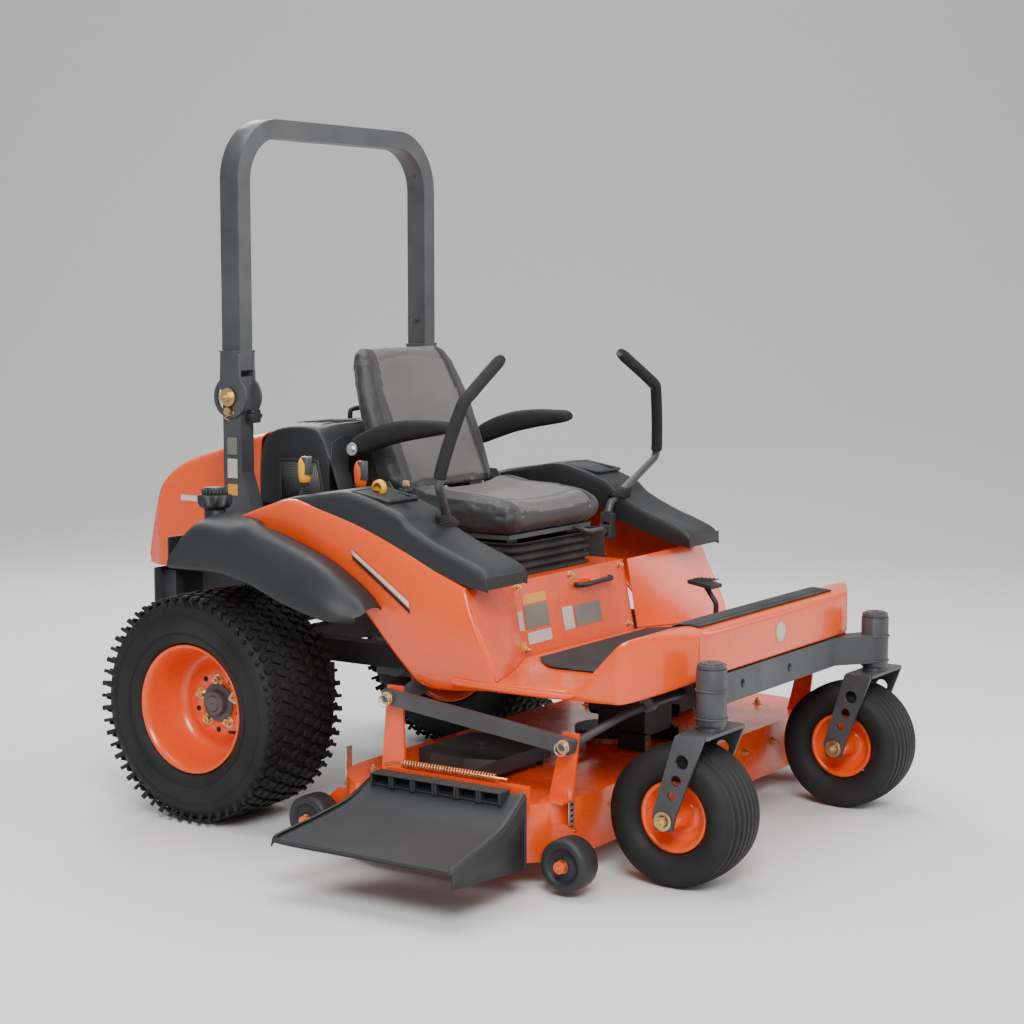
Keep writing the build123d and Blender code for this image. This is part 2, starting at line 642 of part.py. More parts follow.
# Engine with its muffler and air cleaner, and the two wheel motors.
engine_base = rail_top + fit
with BuildPart() as engine:
    block(-190, 190, 80, 400, 470, 700)
    block(-150, 150, 110, 370, 700, 790)
    rod_x(-120, 120, 180, 815, 62)
    rod_y(0, 600, 62, 80, 110)
    rod_x(-180, 180, 425, 640, 42)
    block(-60, 60, 380, 430, 600, 660)
    for s in sides.values():
        block(s * 180, s * rail_outer, 110, 150, 470, 490)
        block(s * 180, s * rail_outer, 310, 350, 470, 490)
        block(s * (rail_inner + 6), s * (rail_outer - 6), 110, 150, engine_base, 470)
        block(s * (rail_inner + 6), s * (rail_outer - 6), 310, 340, engine_base, 470)
write(engine, "engine")

with BuildPart() as drives:
    for s in sides.values():
        rod_x(s * 285, s * motor_face_x, axle_y, rear_radius, 68)
        rod_x(s * 190, s * 285, axle_y, rear_radius, 52)
        block(s * 200, s * 270, -90, 70, 250, 360)
        block(s * 300, s * 370, -32, 32, 330, rail_bottom - fit)
        rod_x(s * (motor_face_x - 41), s * (motor_face_x + 1), axle_y, rear_radius,
              axle_shaft_radius + 0.5, mode=Mode.SUBTRACT)
write(drives, "hydro_drives")

# Hood over the engine, hinged along its lower rear edge.
hood_line = [(70, 1000), (207, 958), (402, 899), (470, 800), (hood_rear, 673), (499, 604), (450, 604),
             (218, 611), (70, 640)]
hood_inner = [(60, 994), (205, 952), (398, 894), (465, 798), (hood_rear - 5, 673), (494, 590),
              (450, 590), (218, 590), (60, 590)]
with BuildPart() as hood:
    side_slab(hood_line, -hood_half, hood_half)
    side_slab(hood_inner, skin - hood_half, hood_half - skin, mode=Mode.SUBTRACT)
    for s in sides.values():
        block(s * 210, s * 230, hinge_y - 6, hinge_y + 15, hinge_z + 5, 640)
        rod_x(s * 210, s * 230, hinge_y, hinge_z, 7)
write(hood, "hood")

# Seat: scissor suspension, pan on slides, cushion, reclining back and folding armrests.
pan_top = cushion_bottom - fit
pan_z = pan_top - 12
with BuildPart() as suspension:
    block(-170, 170, -640, -380, seat_box_top + fit, seat_box_top + 12)
    for s in sides.values():
        side_slab([(-630, seat_box_top + 12), (-600, seat_box_top + 12), (-400, pan_z - 14),
                   (-430, pan_z - 14)], s * 150, s * 158)
        side_slab([(-400, seat_box_top + 12), (-430, seat_box_top + 12), (-630, pan_z - 14),
                   (-600, pan_z - 14)], s * 140, s * 148)
        rod_x(s * 132, s * 166, -515, (seat_box_top + pan_z) / 2, 8)
        block(s * 120, s * 170, -640, -370, pan_z - 14, pan_z - fit)
write(suspension, "seat_suspension")

recline_y = -300.0
recline_z = 852.0
with BuildPart() as seat_pan:
    block(-200, 200, cushion_front + 30, cushion_rear, pan_z, pan_top)
    for s in sides.values():
        side_slab([(-420, pan_z), (-420, pan_top), (recline_y - 20, recline_z + 22),
                   (recline_y + 20, recline_z + 22), (recline_y + 20, recline_z - 30), (-340, pan_z)],
                  s * (back_half + 4), s * (back_half + 10))
        block(s * 200, s * (back_half + 10), -420, cushion_rear, pan_z, pan_top)
        rod_x(s * (back_half + fit), s * (back_half + 16), recline_y, recline_z, 10)
    bent_tube([(120, cushion_front + 32, pan_z + 6), (120, cushion_front - 12, pan_z - 4),
               (190, cushion_front - 14, pan_z - 4)], 12, 6)
write(seat_pan, "seat_pan")

with BuildPart() as cushion:
    side_slab([(cushion_front, cushion_bottom + 20), (cushion_front + 4, 820), (cushion_front + 40, 838),
               (-600, 842), (-430, 846), (cushion_rear - 10, 868), (cushion_rear, 852),
               (cushion_rear, cushion_bottom), (cushion_front + 26, cushion_bottom)],
              -cushion_half, cushion_half, corner=4)
write(cushion, "seat_cushion")

back_slope = (-190 + 345) / (back_top - back_bottom)
back_lean = back_slope * (back_top - back_bottom)
with BuildPart() as backrest:
    side_slab([(-345, back_bottom), (-345 + back_lean, back_top - 12), (-335 + back_lean, back_top),
               (-290 + back_lean, back_top), (-276 + back_lean, back_top - 14),
               (-345 + back_thick, back_bottom), (-310, back_bottom - 4)],
              -back_half, back_half)
    with BuildSketch(Plane.XZ.offset(500)) as face:
        with BuildLine():
            Polyline((-back_half, back_bottom - 10), (-back_half, 1080), (-back_half + 50, back_top),
                     (back_half - 50, back_top), (back_half, 1080), (back_half, back_bottom - 10),
                     close=True)
        make_face()
    extrude(face.sketch, amount=-500, mode=Mode.INTERSECT)
write(backrest, "seat_back")

for side, s in sides.items():
    with BuildPart() as armrest:
        side_slab([(arm_pivot_y + 22, arm_pivot_z - 20), (arm_pivot_y + 24, arm_pivot_z + 22),
                   (-300, 1008), (-400, 1030), (-520, 1046), (-545, 1036), (-540, 1014), (-400, 996),
                   (-300, 968), (arm_pivot_y - 30, arm_pivot_z - 20)],
                  s * arm_pivot_x, s * (arm_pivot_x + arm_width), corner=3)
        rod_x(s * (back_half + 0.5), s * arm_pivot_x, arm_pivot_y, arm_pivot_z, 9)
    write(armrest, f"armrest_{side}")

# Steering levers: a hub that rolls fore and aft on the frame pivot, and a lever that swings out of it.
hub_half = 16.0
swing_z = hub_z + 40
for side, s in sides.items():
    with BuildPart() as hub:
        block(s * (hub_x - hub_half), s * (hub_x + hub_half), hub_y - 18, hub_y + 18, hub_z - 18, hub_z + 18)
        rod_x(s * (hub_x - hub_half - 2), s * (hub_x + hub_half + 3), hub_y, hub_z, 10.5, mode=Mode.SUBTRACT)
        for face in (-1, 1):
            low, high = sorted((hub_y + face * 12, hub_y + face * 18))
            block(s * (hub_x - 12), s * (hub_x + 12), low, high, hub_z + 18, swing_z + 12)
        rod_y(s * hub_x, swing_z, hub_y - 18, hub_y + 18, 5)
    write(hub, f"lever_hub_{side}")
    with BuildPart() as lever:
        foot = (s * hub_x, hub_y, swing_z + 12)
        route = [foot, (s * (hub_x + 12), hub_y - 2, swing_z + 40), (s * 531, -682, 905),
                 (s * 527, -688, 940), (s * 473, -714, 1102), (s * 291, -705, 1208)]
        bent_tube(route, 22, lever_radius)
        block(s * hub_x - 10, s * hub_x + 10, hub_y - 11, hub_y + 11, swing_z - 12, swing_z + 18)
        rod_y(s * hub_x, swing_z, hub_y - 13, hub_y + 13, 5.5, mode=Mode.SUBTRACT)
    write(lever, f"steering_lever_{side}")

# Two hand levers beside the right shroud corner, each on its own pivot at the right console.
def hand_lever(x, y, z, foot_y, foot_z, knob_height):
    """A straight rod on a pivot boss with an upright knob."""
    rod_x(x - hand_boss_half, x + hand_boss_half, foot_y, foot_z, 12)
    bent_tube([(x, foot_y, foot_z + 10), (x, (foot_y + y) / 2, (foot_z + z) / 2 + 6), (x, y, z)], 20, 5)
    rod_z(x, y, z - 4, z + knob_height, 14)


with BuildPart() as height_lever:
    hand_lever(height_lever_x, -227, 910, height_foot[0], height_foot[1], 42)
write(height_lever, "cut_height_lever")
with BuildPart() as brake_lever:
    hand_lever(brake_lever_x, -328, 894, brake_foot[0], brake_foot[1], 44)
write(brake_lever, "parking_brake_lever")

# Deck lift pedal on the left of the foot platform.
pedal_x = 300.0
pedal_y = -1000.0
pedal_boss = 13.0
pedal_z = floor_z + mat + 2 * fit + pedal_boss
with BuildPart() as pedal:
    rod_x(pedal_x - 22, pedal_x + 22, pedal_y, pedal_z, pedal_boss)
    bent_tube([(pedal_x, pedal_y - 4, pedal_z + 8), (pedal_x, pedal_y - 6, pedal_z + 70),
               (pedal_x, pedal_y + 30, pedal_z + 118)], 24, 7)
    side_slab([(pedal_y - 6, pedal_z + 110), (pedal_y + 66, pedal_z + 122), (pedal_y + 66, pedal_z + 132),
               (pedal_y - 6, pedal_z + 120)], pedal_x - 32, pedal_x + 32)
write(pedal, "deck_lift_pedal")

# Cutting deck: a welded shell open below, with two uprights a side for the lift bars.
deck_plan = [(deck_right, deck_rear), (deck_right, deck_front), (deck_left, deck_front),
             (deck_left, deck_rear)]
side_wall = 12.0
upright_half = 30.0
upright_plate = 8.0
rear_upright_y = rear_pin_y
link_pin_out = bar_x + bar_width / 2 + 14
with BuildPart() as deck:
    plan_slab(deck_plan, deck_skirt_z, deck_top, corner=deck_corner)
    with BuildSketch(Plane.XY.offset(deck_skirt_z - 1)) as chamber:
        outline([(deck_right + deck_wall, deck_rear - deck_wall), (deck_right + deck_wall, deck_front + deck_wall),
                 (deck_left - deck_wall, deck_front + deck_wall), (deck_left - deck_wall, deck_rear - deck_wall)],
                corner=deck_corner - deck_wall)
    extrude(chamber.sketch, amount=deck_top - deck_wall - deck_skirt_z + 1, mode=Mode.SUBTRACT)
    block(deck_right - 1, deck_right + side_wall, -960, chute_rear - 20, deck_skirt_z - 1,
          deck_top - 20, mode=Mode.SUBTRACT)
    for s in sides.values():
        near, far = s * (bar_x - bar_width / 2 - upright_plate), s * (bar_x - bar_width / 2 - fit)
        for y, top, foot in ((rear_upright_y, rear_pin_z + 26, 42), (front_pin_y, front_pin_z + 26, 34)):
            lean = 0 if y == rear_upright_y else 26
            side_slab([(y - upright_half + lean, deck_top), (y + foot + lean, deck_top), (y + 22, top),
                       (y - 22, top)], near, far)
            block(near, s * (bar_x + 26), y - upright_half + lean, y + foot + lean, deck_top, deck_top + 6)
    for x, y in ((-spindle_x, spindle_y), (0, spindle_y - spindle_stagger), (spindle_x, spindle_y)):
        rod_z(x, y, deck_top, deck_top + 16, 60)
        rod_z(x, y, deck_top - 60, deck_top, 48)
        rod_z(x, y, deck_top - 61, deck_top + 17, 18, mode=Mode.SUBTRACT)
    for s, y in ((-1, deck_front), (1, deck_front), (-1, deck_rear), (1, deck_rear)):
        out = -1 if y == deck_front else 1
        lug = s * (gauge_x - gauge_width / 2 - 16)
        side_slab([(y - out * 60, deck_skirt_z + 8), (y - out * 60, 150), (y + out * 10, 150),
                   (y + out * (gauge_offset + 18), 100), (y + out * (gauge_offset + 18), 56),
                   (y + out * (gauge_offset - 18), 56)], lug, lug + s * 8)
        rod_x(lug + s * 8, s * (gauge_x + gauge_width / 2 + 6), y + out * gauge_offset, gauge_radius + 14, 8)
        rod_x(s * (gauge_x + gauge_width / 2 + 6), s * (gauge_x + gauge_width / 2 + 12), y + out * gauge_offset,
              gauge_radius + 14, 14)
    for s in sides.values():
        block(s * 110, s * 116, deck_front - 62, deck_front + 2, 66, 140)
        rod_x(0, s * 122, deck_front - 44, 88, 9)
    block(-116, 116, deck_front - 8, deck_front, 110, 140)
    block(deck_right + 14, chute_hinge_x + 11 + fit, chute_front + 16, chute_rear - 16, deck_top - deck_wall,
          chute_hinge_z + 12)
write(deck, "deck_shell")

# Lift bars lie on the pins of the uprights; the bar carries both pins outwards and inwards.
with BuildPart() as bars:
    for s in sides.values():
        near, far = s * (bar_x - bar_width / 2), s * (bar_x + bar_width / 2)
        side_slab([(rear_pin_y + 22, rear_pin_z + 20), (rear_pin_y + 24, rear_pin_z - 16),
                   (front_pin_y - 14, front_pin_z - 22), (front_pin_y - 22, front_pin_z + 14)],
                  near, far, corner=8)
        for y, z in ((rear_pin_y, rear_pin_z), (front_pin_y, front_pin_z)):
            rod_x(near, s * link_pin_out, y, z, link_pin_radius)
            rod_x(far, s * (link_pin_out - 5), y, z, 17)
write(bars, "deck_side_bars")

with BuildPart() as lift_arms:
    for s in sides.values():
        near, far = s * lift_arm_x, s * (lift_arm_x + lift_arm_plate)
        side_slab([(arm_rear_y - 20, arm_rear_z - 14), (arm_rear_y - 8, arm_rear_z + 22),
                   (arm_rear_y + 24, arm_rear_z + 16), (rear_pin_y + 20, rear_pin_z + 10),
                   (rear_pin_y + 8, rear_pin_z - 20), (rear_pin_y - 22, rear_pin_z - 12)], near, far, corner=6)
        rod_x(far, s * (bar_x - bar_width / 2 - upright_plate - fit), rear_pin_y, rear_pin_z, link_pin_radius - 1)
write(lift_arms, "deck_lift_arms")

link_in = caster_x + 14
with BuildPart() as links:
    for s in sides.values():
        rod_x(s * (link_in - 26), s * link_in, arm_front_y, arm_front_z, 19)
        bent_tube([(s * (link_in - 8), arm_front_y + 8, arm_front_z - 6),
                   (s * (link_in + 30), arm_front_y + 40, arm_front_z - 24),
                   (s * (bar_x - 44), front_pin_y - 4, front_pin_z + 3)], 18, 10)
        rod_x(s * (bar_x - 52), s * (bar_x - bar_width / 2 - upright_plate - fit), front_pin_y, front_pin_z, 14)
        rod_x(s * (link_in - 27), s * (link_in + 1), arm_front_y, arm_front_z, 11.5, mode=Mode.SUBTRACT)
write(links, "front_links")

# Belt drive on the deck: centre gearbox, belt runs and a removable cover over each outer pulley.
with BuildPart() as belt_drive:
    for s in sides.values():
        cover = [(s * 330, -640), (s * 330, -880), (s * 560, -880), (s * 596, -800), (s * 596, -700),
                 (s * 560, -640)]
        plan_slab(cover, deck_top + 18, deck_top + 54)
        for x, y in ((s * 350, -660), (s * 350, -860), (s * 560, -860), (s * 575, -700)):
            rod_z(x, y, deck_top, deck_top + 18, 8)
    rod_z(0, spindle_y - spindle_stagger, deck_top + 20, deck_top + 36, 90)
    block(-70, 70, -1000, -860, deck_top + 36, deck_top + 120)
    rod_y(0, deck_top + 84, -860, -800, 20)
    for s in sides.values():
        block(s * 84, s * 332, -860, -848, deck_top + 22, deck_top + 34)
        block(s * 84, s * 90, -1012, -930, deck_top, deck_top + 44)
        block(s * 64, s * 90, -1012, -930, deck_top + 38, deck_top + 44)
write(belt_drive, "belt_drive")

blade_places = {"right": (-spindle_x, spindle_y), "centre": (0, spindle_y - spindle_stagger),
                "left": (spindle_x, spindle_y)}
for place, (x, y) in blade_places.items():
    with BuildPart() as blade:
        rod_z(x, y, blade_z, deck_top + 14, 17)
        rod_z(x, y, blade_z + 6, deck_top - 64, 34)
        block(x - blade_radius, x + blade_radius, y - 30, y + 30, blade_z, blade_z + 6)
        rod_z(x, y, blade_z - 10, blade_z, 20)
        for face in (-1, 1):
            side_slab([(y + face * 30, blade_z + 6), (y + face * 6, blade_z + 6),
                       (y + face * 30, blade_z + 24)], x - face * 245, x - face * 150)
    write(blade, f"blade_{place}")

# Discharge chute on a long hinge at the deck's right edge.
with BuildPart() as chute:
    wall = 5.0
    top_line = [(chute_hinge_x, chute_hinge_z + 6), (chute_hinge_x, chute_hinge_z - 6),
                (chute_hinge_x - 100, 176), (chute_tip_x, 128), (chute_tip_x, 128 + wall + 3),
                (chute_hinge_x - 100, 184)]
    skirt_line = [(chute_hinge_x, chute_hinge_z - 4), (chute_hinge_x - 100, 178), (chute_tip_x, 128),
                  (chute_tip_x, 92), (chute_hinge_x, 72)]
    for line, first, last in ((top_line, chute_front, chute_rear + chute_wing),
                              (skirt_line, chute_front, chute_front + wall),
                              (skirt_line, chute_rear - wall, chute_rear)):
        with BuildSketch(Plane.XZ.offset(-first)) as section:
            outline(line)
        extrude(section.sketch, amount=first - last)
    rod_y(chute_hinge_x, chute_hinge_z, chute_front, chute_rear, 11)
    chute_outline = [(chute_hinge_x + 20, chute_front - 1), (chute_tip_x - 1, chute_front - 1),
                     (chute_tip_x - 1, chute_rear + chute_wing - 30), (chute_tip_x + 30, chute_rear + chute_wing),
                     (chute_hinge_x - 60, chute_rear), (chute_hinge_x + 20, chute_rear)]
    with BuildSketch(Plane.XY) as trim:
        outline(chute_outline)
    extrude(trim.sketch, amount=400, mode=Mode.INTERSECT)
write(chute, "discharge_chute")

# Anti-scalp wheels at the deck corners and the front centre roller.
for place, s, y, out in (("front_right", -1, deck_front, -1), ("front_left", 1, deck_front, -1),
                         ("rear_right", -1, deck_rear, 1), ("rear_left", 1, deck_rear, 1)):
    with BuildPart() as gauge_wheel:
        disc_stack(s * gauge_x, y + out * gauge_offset, gauge_radius + 14, [
            (-gauge_width / 2 + 1, gauge_width / 2 - 1, 8.5, 22), (-4, 4, 22, gauge_radius - 16),
            (-gauge_width / 2 + 5, gauge_width / 2 - 5, gauge_radius - 16, gauge_radius)])
    write(gauge_wheel, f"gauge_wheel_{place}")
with BuildPart() as roller:
    rod_x(fit - 110, 110 - fit, deck_front - 44, 88, 40)
    rod_x(-111, 111, deck_front - 44, 88, 9.5, mode=Mode.SUBTRACT)
write(roller, "front_roller")
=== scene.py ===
"""Ride-on zero turn mower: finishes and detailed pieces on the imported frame."""

import math

import bmesh
import bpy
from mathutils import Matrix, Vector
from mathutils.kdtree import KDTree


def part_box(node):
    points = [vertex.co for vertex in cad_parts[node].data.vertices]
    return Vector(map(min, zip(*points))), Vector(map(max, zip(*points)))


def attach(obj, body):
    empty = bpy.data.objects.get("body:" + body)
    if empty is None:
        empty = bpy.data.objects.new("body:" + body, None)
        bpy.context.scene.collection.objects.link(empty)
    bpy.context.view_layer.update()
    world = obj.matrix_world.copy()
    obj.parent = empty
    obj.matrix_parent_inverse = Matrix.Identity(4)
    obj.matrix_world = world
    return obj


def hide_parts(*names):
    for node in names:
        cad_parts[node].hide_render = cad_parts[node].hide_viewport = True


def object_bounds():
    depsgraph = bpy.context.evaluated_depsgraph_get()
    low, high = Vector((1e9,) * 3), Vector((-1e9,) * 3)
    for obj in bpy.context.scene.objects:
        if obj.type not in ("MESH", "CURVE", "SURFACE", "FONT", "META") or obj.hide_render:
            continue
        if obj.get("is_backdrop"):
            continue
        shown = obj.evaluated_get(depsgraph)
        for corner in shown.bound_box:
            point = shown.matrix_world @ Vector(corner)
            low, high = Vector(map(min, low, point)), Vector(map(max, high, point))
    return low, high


bl_info = {
    "name": "Zero turn mower",
    "version": (1, 0, 0),
    "blender": (4, 5, 0),
    "location": "3D View > Sidebar > Mower",
    "description": "Builds the visible pieces and finishes of a ride-on zero turn mower",
    "category": "Add Mesh",
}

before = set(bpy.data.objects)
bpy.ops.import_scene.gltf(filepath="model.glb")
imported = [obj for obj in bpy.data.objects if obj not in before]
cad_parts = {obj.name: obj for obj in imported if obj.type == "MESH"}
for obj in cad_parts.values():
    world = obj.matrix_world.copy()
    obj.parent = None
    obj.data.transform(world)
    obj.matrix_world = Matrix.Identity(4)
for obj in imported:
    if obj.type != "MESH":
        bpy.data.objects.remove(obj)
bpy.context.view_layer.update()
SIDES = {"left": 1, "right": -1}


def middle(node):
    """The centre of a CAD node's box."""
    low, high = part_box(node)
    return (low + high) / 2


# The maker's datum is on the ground under the rear axle, on the machine's centreline.
DATUM = (middle("rear_tyre_left") + middle("rear_tyre_right")) / 2
DATUM.z = 0.0


def at(x, y, z):
    """A place given in millimetres from the datum: +x to the machine's left, -y to its front."""
    return DATUM + Vector((x, y, z)) / 1000


# ---------------------------------------------------------------- settings


class MowerFinishes(bpy.types.PropertyGroup):
    """Colours that a user would change."""

    paint: bpy.props.FloatVectorProperty(
        name="Body paint", description="Enamel on panels, deck and rims",
        default=(0.86, 0.082, 0.006), size=3, subtype="COLOR", min=0, max=1)
    frame_paint: bpy.props.FloatVectorProperty(
        name="Frame paint", description="Powder coat on frame, forks and roll bar",
        default=(0.05, 0.051, 0.055), size=3, subtype="COLOR", min=0, max=1)
    plastic: bpy.props.FloatVectorProperty(
        name="Moulded plastic", description="Fenders, consoles, shroud and chute",
        default=(0.017, 0.0178, 0.019), size=3, subtype="COLOR", min=0, max=1)
    vinyl: bpy.props.FloatVectorProperty(
        name="Seat vinyl", description="Centre panels of the seat",
        default=(0.098, 0.088, 0.084), size=3, subtype="COLOR", min=0, max=1)
    bolster: bpy.props.FloatVectorProperty(
        name="Bolster vinyl", description="Sides of the seat",
        default=(0.024, 0.0235, 0.0245), size=3, subtype="COLOR", min=0, max=1)


class MowerSizes(bpy.types.PropertyGroup):
    """Sizes that a user would change."""

    tread_blocks: bpy.props.IntProperty(
        name="Tread rows", description="Blocks round a rear tyre", default=54, min=24, max=90)
    tread_height: bpy.props.FloatProperty(
        name="Tread height", description="Height of the turf blocks", default=0.0085, min=0.002,
        max=0.02, subtype="DISTANCE", unit="LENGTH")
    seam_depth: bpy.props.FloatProperty(
        name="Seam depth", description="Depth of the sewn channels", default=0.006, min=0.001,
        max=0.02, subtype="DISTANCE", unit="LENGTH")
    edge_radius: bpy.props.FloatProperty(
        name="Edge radius", description="Softening of pressed and cut edges", default=0.0016,
        min=0.0002, max=0.01, subtype="DISTANCE", unit="LENGTH")


# ---------------------------------------------------------------- materials


class Graph:
    """A new material's node tree, with short calls to add and join nodes."""

    def __init__(self, name):
        self.material = bpy.data.materials.new(name)
        self.material.use_nodes = True
        self.tree = self.material.node_tree
        self.shader = self.tree.nodes["Principled BSDF"]
        self.place = self.tree.nodes.new("ShaderNodeTexCoord").outputs["Object"]

    def add(self, kind, **values):
        """A node whose inputs and properties are given by name."""
        node = self.tree.nodes.new(kind)
        for key, value in values.items():
            socket = key.replace("_", " ").title()
            if socket in node.inputs:
                node.inputs[socket].default_value = value
            else:
                setattr(node, key, value)
        return node

    def join(self, source, target):
        """Links an output to an input."""
        self.tree.links.new(source, target)

    def noise(self, scale, detail=4.0):
        """Noise in the object's own space."""
        node = self.add("ShaderNodeTexNoise", scale=scale, detail=detail)
        self.join(self.place, node.inputs["Vector"])
        return node.outputs["Fac"]

    def cells(self, scale, feature="F1"):
        """Voronoi cells in the object's own space."""
        node = self.add("ShaderNodeTexVoronoi", scale=scale, feature=feature)
        self.join(self.place, node.inputs["Vector"])
        return node.outputs["Distance"]

    def ramp(self, source, low, high, start=0.0, end=1.0):
        """Maps a value to a range of values or colours."""
        node = self.tree.nodes.new("ShaderNodeValToRGB")
        node.color_ramp.elements[0].position = start
        node.color_ramp.elements[1].position = end
        for element, colour in zip(node.color_ramp.elements, (low, high)):
            values = (colour,) * 3 if isinstance(colour, (int, float)) else tuple(colour)
            element.color = (*values, 1)
        self.join(source, node.inputs["Fac"])
        return node.outputs["Color"]

    def bump(self, height, strength, distance, below=None):
        """Adds surface relief, on top of an earlier relief if one is given."""
        node = self.add("ShaderNodeBump", strength=strength, distance=distance)
        self.join(height, node.inputs["Height"])
        if below:
            self.join(below, node.inputs["Normal"])
        self.join(node.outputs["Normal"], self.shader.inputs["Normal"])
        return node.outputs["Normal"]

    def set(self, **values):
        """Sets constants on the shader's own sockets."""
        for key, value in values.items():
            self.shader.inputs[key.replace("_", " ")].default_value = value


def shade(colour, amount):
    """A colour made lighter or darker by a factor."""
    return tuple(min(1.0, part * amount) for part in colour)


def enamel(name, colour):
    """Glossy enamel: faint orange peel and slight tone drift."""
    g = Graph(name)
    drift = g.ramp(g.noise(3.1), shade(colour, 0.93), shade(colour, 1.05), 0.3, 0.7)
    g.join(drift, g.shader.inputs["Base Color"])
    g.join(g.ramp(g.noise(14.0), 0.24, 0.36, 0.35, 0.75), g.shader.inputs["Roughness"])
    g.set(Coat_Weight=0.4, Coat_Roughness=0.12, Specular_IOR_Level=0.5)
    g.bump(g.noise(420.0, 2.0), 0.05, 0.0006)
    return g.material


def powder_coat(name, colour, roughness=0.42):
    """Satin powder coat: fine leather-like texture and a patchy tone."""
    g = Graph(name)
    tone = g.ramp(g.noise(9.0, 6.0), shade(colour, 0.8), shade(colour, 1.3), 0.3, 0.72)
    g.join(tone, g.shader.inputs["Base Color"])
    g.join(g.ramp(g.noise(30.0), roughness - 0.07, roughness + 0.12), g.shader.inputs["Roughness"])
    g.set(Specular_IOR_Level=0.5)
    g.bump(g.noise(700.0, 3.0), 0.12, 0.0006)
    return g.material


def moulded(name, colour, roughness=0.5, grain=900.0, depth=0.25):
    """Injection-moulded plastic with a spark-eroded grain."""
    g = Graph(name)
    tone = g.ramp(g.noise(5.0, 5.0), shade(colour, 0.85), shade(colour, 1.35), 0.3, 0.75)
    g.join(tone, g.shader.inputs["Base Color"])
    g.join(g.ramp(g.noise(12.0), roughness - 0.06, roughness + 0.1), g.shader.inputs["Roughness"])
    g.set(Specular_IOR_Level=0.45)
    g.bump(g.cells(grain), depth, 0.0005)
    return g.material


def tyre_rubber(name):
    """Tyre rubber, with pale dust on it in patches and fine mould lines."""
    g = Graph(name)
    tone = g.ramp(g.noise(7.0, 6.0), (0.007, 0.007, 0.0075), (0.021, 0.0205, 0.02), 0.35, 0.8)
    g.join(tone, g.shader.inputs["Base Color"])
    g.join(g.ramp(g.noise(22.0), 0.55, 0.78), g.shader.inputs["Roughness"])
    g.set(Specular_IOR_Level=0.35)
    g.bump(g.noise(260.0, 4.0), 0.2, 0.0009)
    return g.material


def grained_vinyl(name, colour):
    """Upholstery vinyl: leather grain in two sizes and a soft sheen."""
    g = Graph(name)
    tone = g.ramp(g.noise(6.0, 4.0), shade(colour, 0.82), shade(colour, 1.15), 0.3, 0.75)
    g.join(tone, g.shader.inputs["Base Color"])
    g.join(g.ramp(g.cells(330.0), 0.42, 0.56), g.shader.inputs["Roughness"])
    g.set(Sheen_Weight=0.12, Sheen_Roughness=0.5, Specular_IOR_Level=0.45)
    coarse = g.bump(g.cells(420.0, "DISTANCE_TO_EDGE"), 0.45, 0.0008)
    g.bump(g.noise(90.0, 3.0), 0.12, 0.001, below=coarse)
    return g.material


def metal(name, colour, roughness=0.34, drift=0.12):
    """Plated or bare metal with a patchy tone and fine scratches."""
    g = Graph(name)
    tone = g.ramp(g.noise(60.0, 5.0), shade(colour, 1 - drift), shade(colour, 1 + drift), 0.3, 0.7)
    g.join(tone, g.shader.inputs["Base Color"])
    g.join(g.ramp(g.noise(140.0), roughness - 0.08, roughness + 0.14), g.shader.inputs["Roughness"])
    g.set(Metallic=1.0)
    g.bump(g.noise(500.0, 2.0), 0.08, 0.0004)
    return g.material


def ribbed_rubber(name):
    """Floor matting: raised studs in rows on black rubber."""
    g = Graph(name)
    tone = g.ramp(g.noise(11.0, 5.0), (0.014, 0.014, 0.015), (0.042, 0.041, 0.04), 0.3, 0.8)
    g.join(tone, g.shader.inputs["Base Color"])
    g.set(Roughness=0.72, Specular_IOR_Level=0.3)
    wave = g.add("ShaderNodeTexWave", scale=42.0, bands_direction="X", wave_profile="SIN")
    g.join(g.place, wave.inputs["Vector"])
    lines = g.bump(g.ramp(wave.outputs["Fac"], 0.0, 1.0, 0.35, 0.6), 0.5, 0.0012)
    g.bump(g.noise(300.0, 3.0), 0.25, 0.0007, below=lines)
    return g.material


def wire_screen(name):
    """Perforated screen: black metal with a grid of round holes, painted near-black as shade."""
    g = Graph(name)
    holes = g.add("ShaderNodeTexVoronoi", scale=160.0, randomness=0.0)
    g.join(g.place, holes.inputs["Vector"])
    # Painted shade: the hole centres go near-black in the base colour.
    tone = g.ramp(holes.outputs["Distance"], (0.002, 0.002, 0.002), (0.07, 0.07, 0.072), 0.42, 0.52)
    g.join(tone, g.shader.inputs["Base Color"])
    g.set(Roughness=0.5, Specular_IOR_Level=0.4)
    g.bump(g.ramp(holes.outputs["Distance"], 0.0, 1.0, 0.4, 0.55), 0.8, 0.001)
    return g.material


def foam(name):
    """Closed-cell foam grip: dull, with small pores."""
    g = Graph(name)
    g.join(g.ramp(g.noise(30.0), (0.012, 0.012, 0.013), (0.026, 0.026, 0.027)), g.shader.inputs["Base Color"])
    g.set(Roughness=0.82, Specular_IOR_Level=0.25)
    g.bump(g.cells(600.0), 0.4, 0.0006)
    return g.material


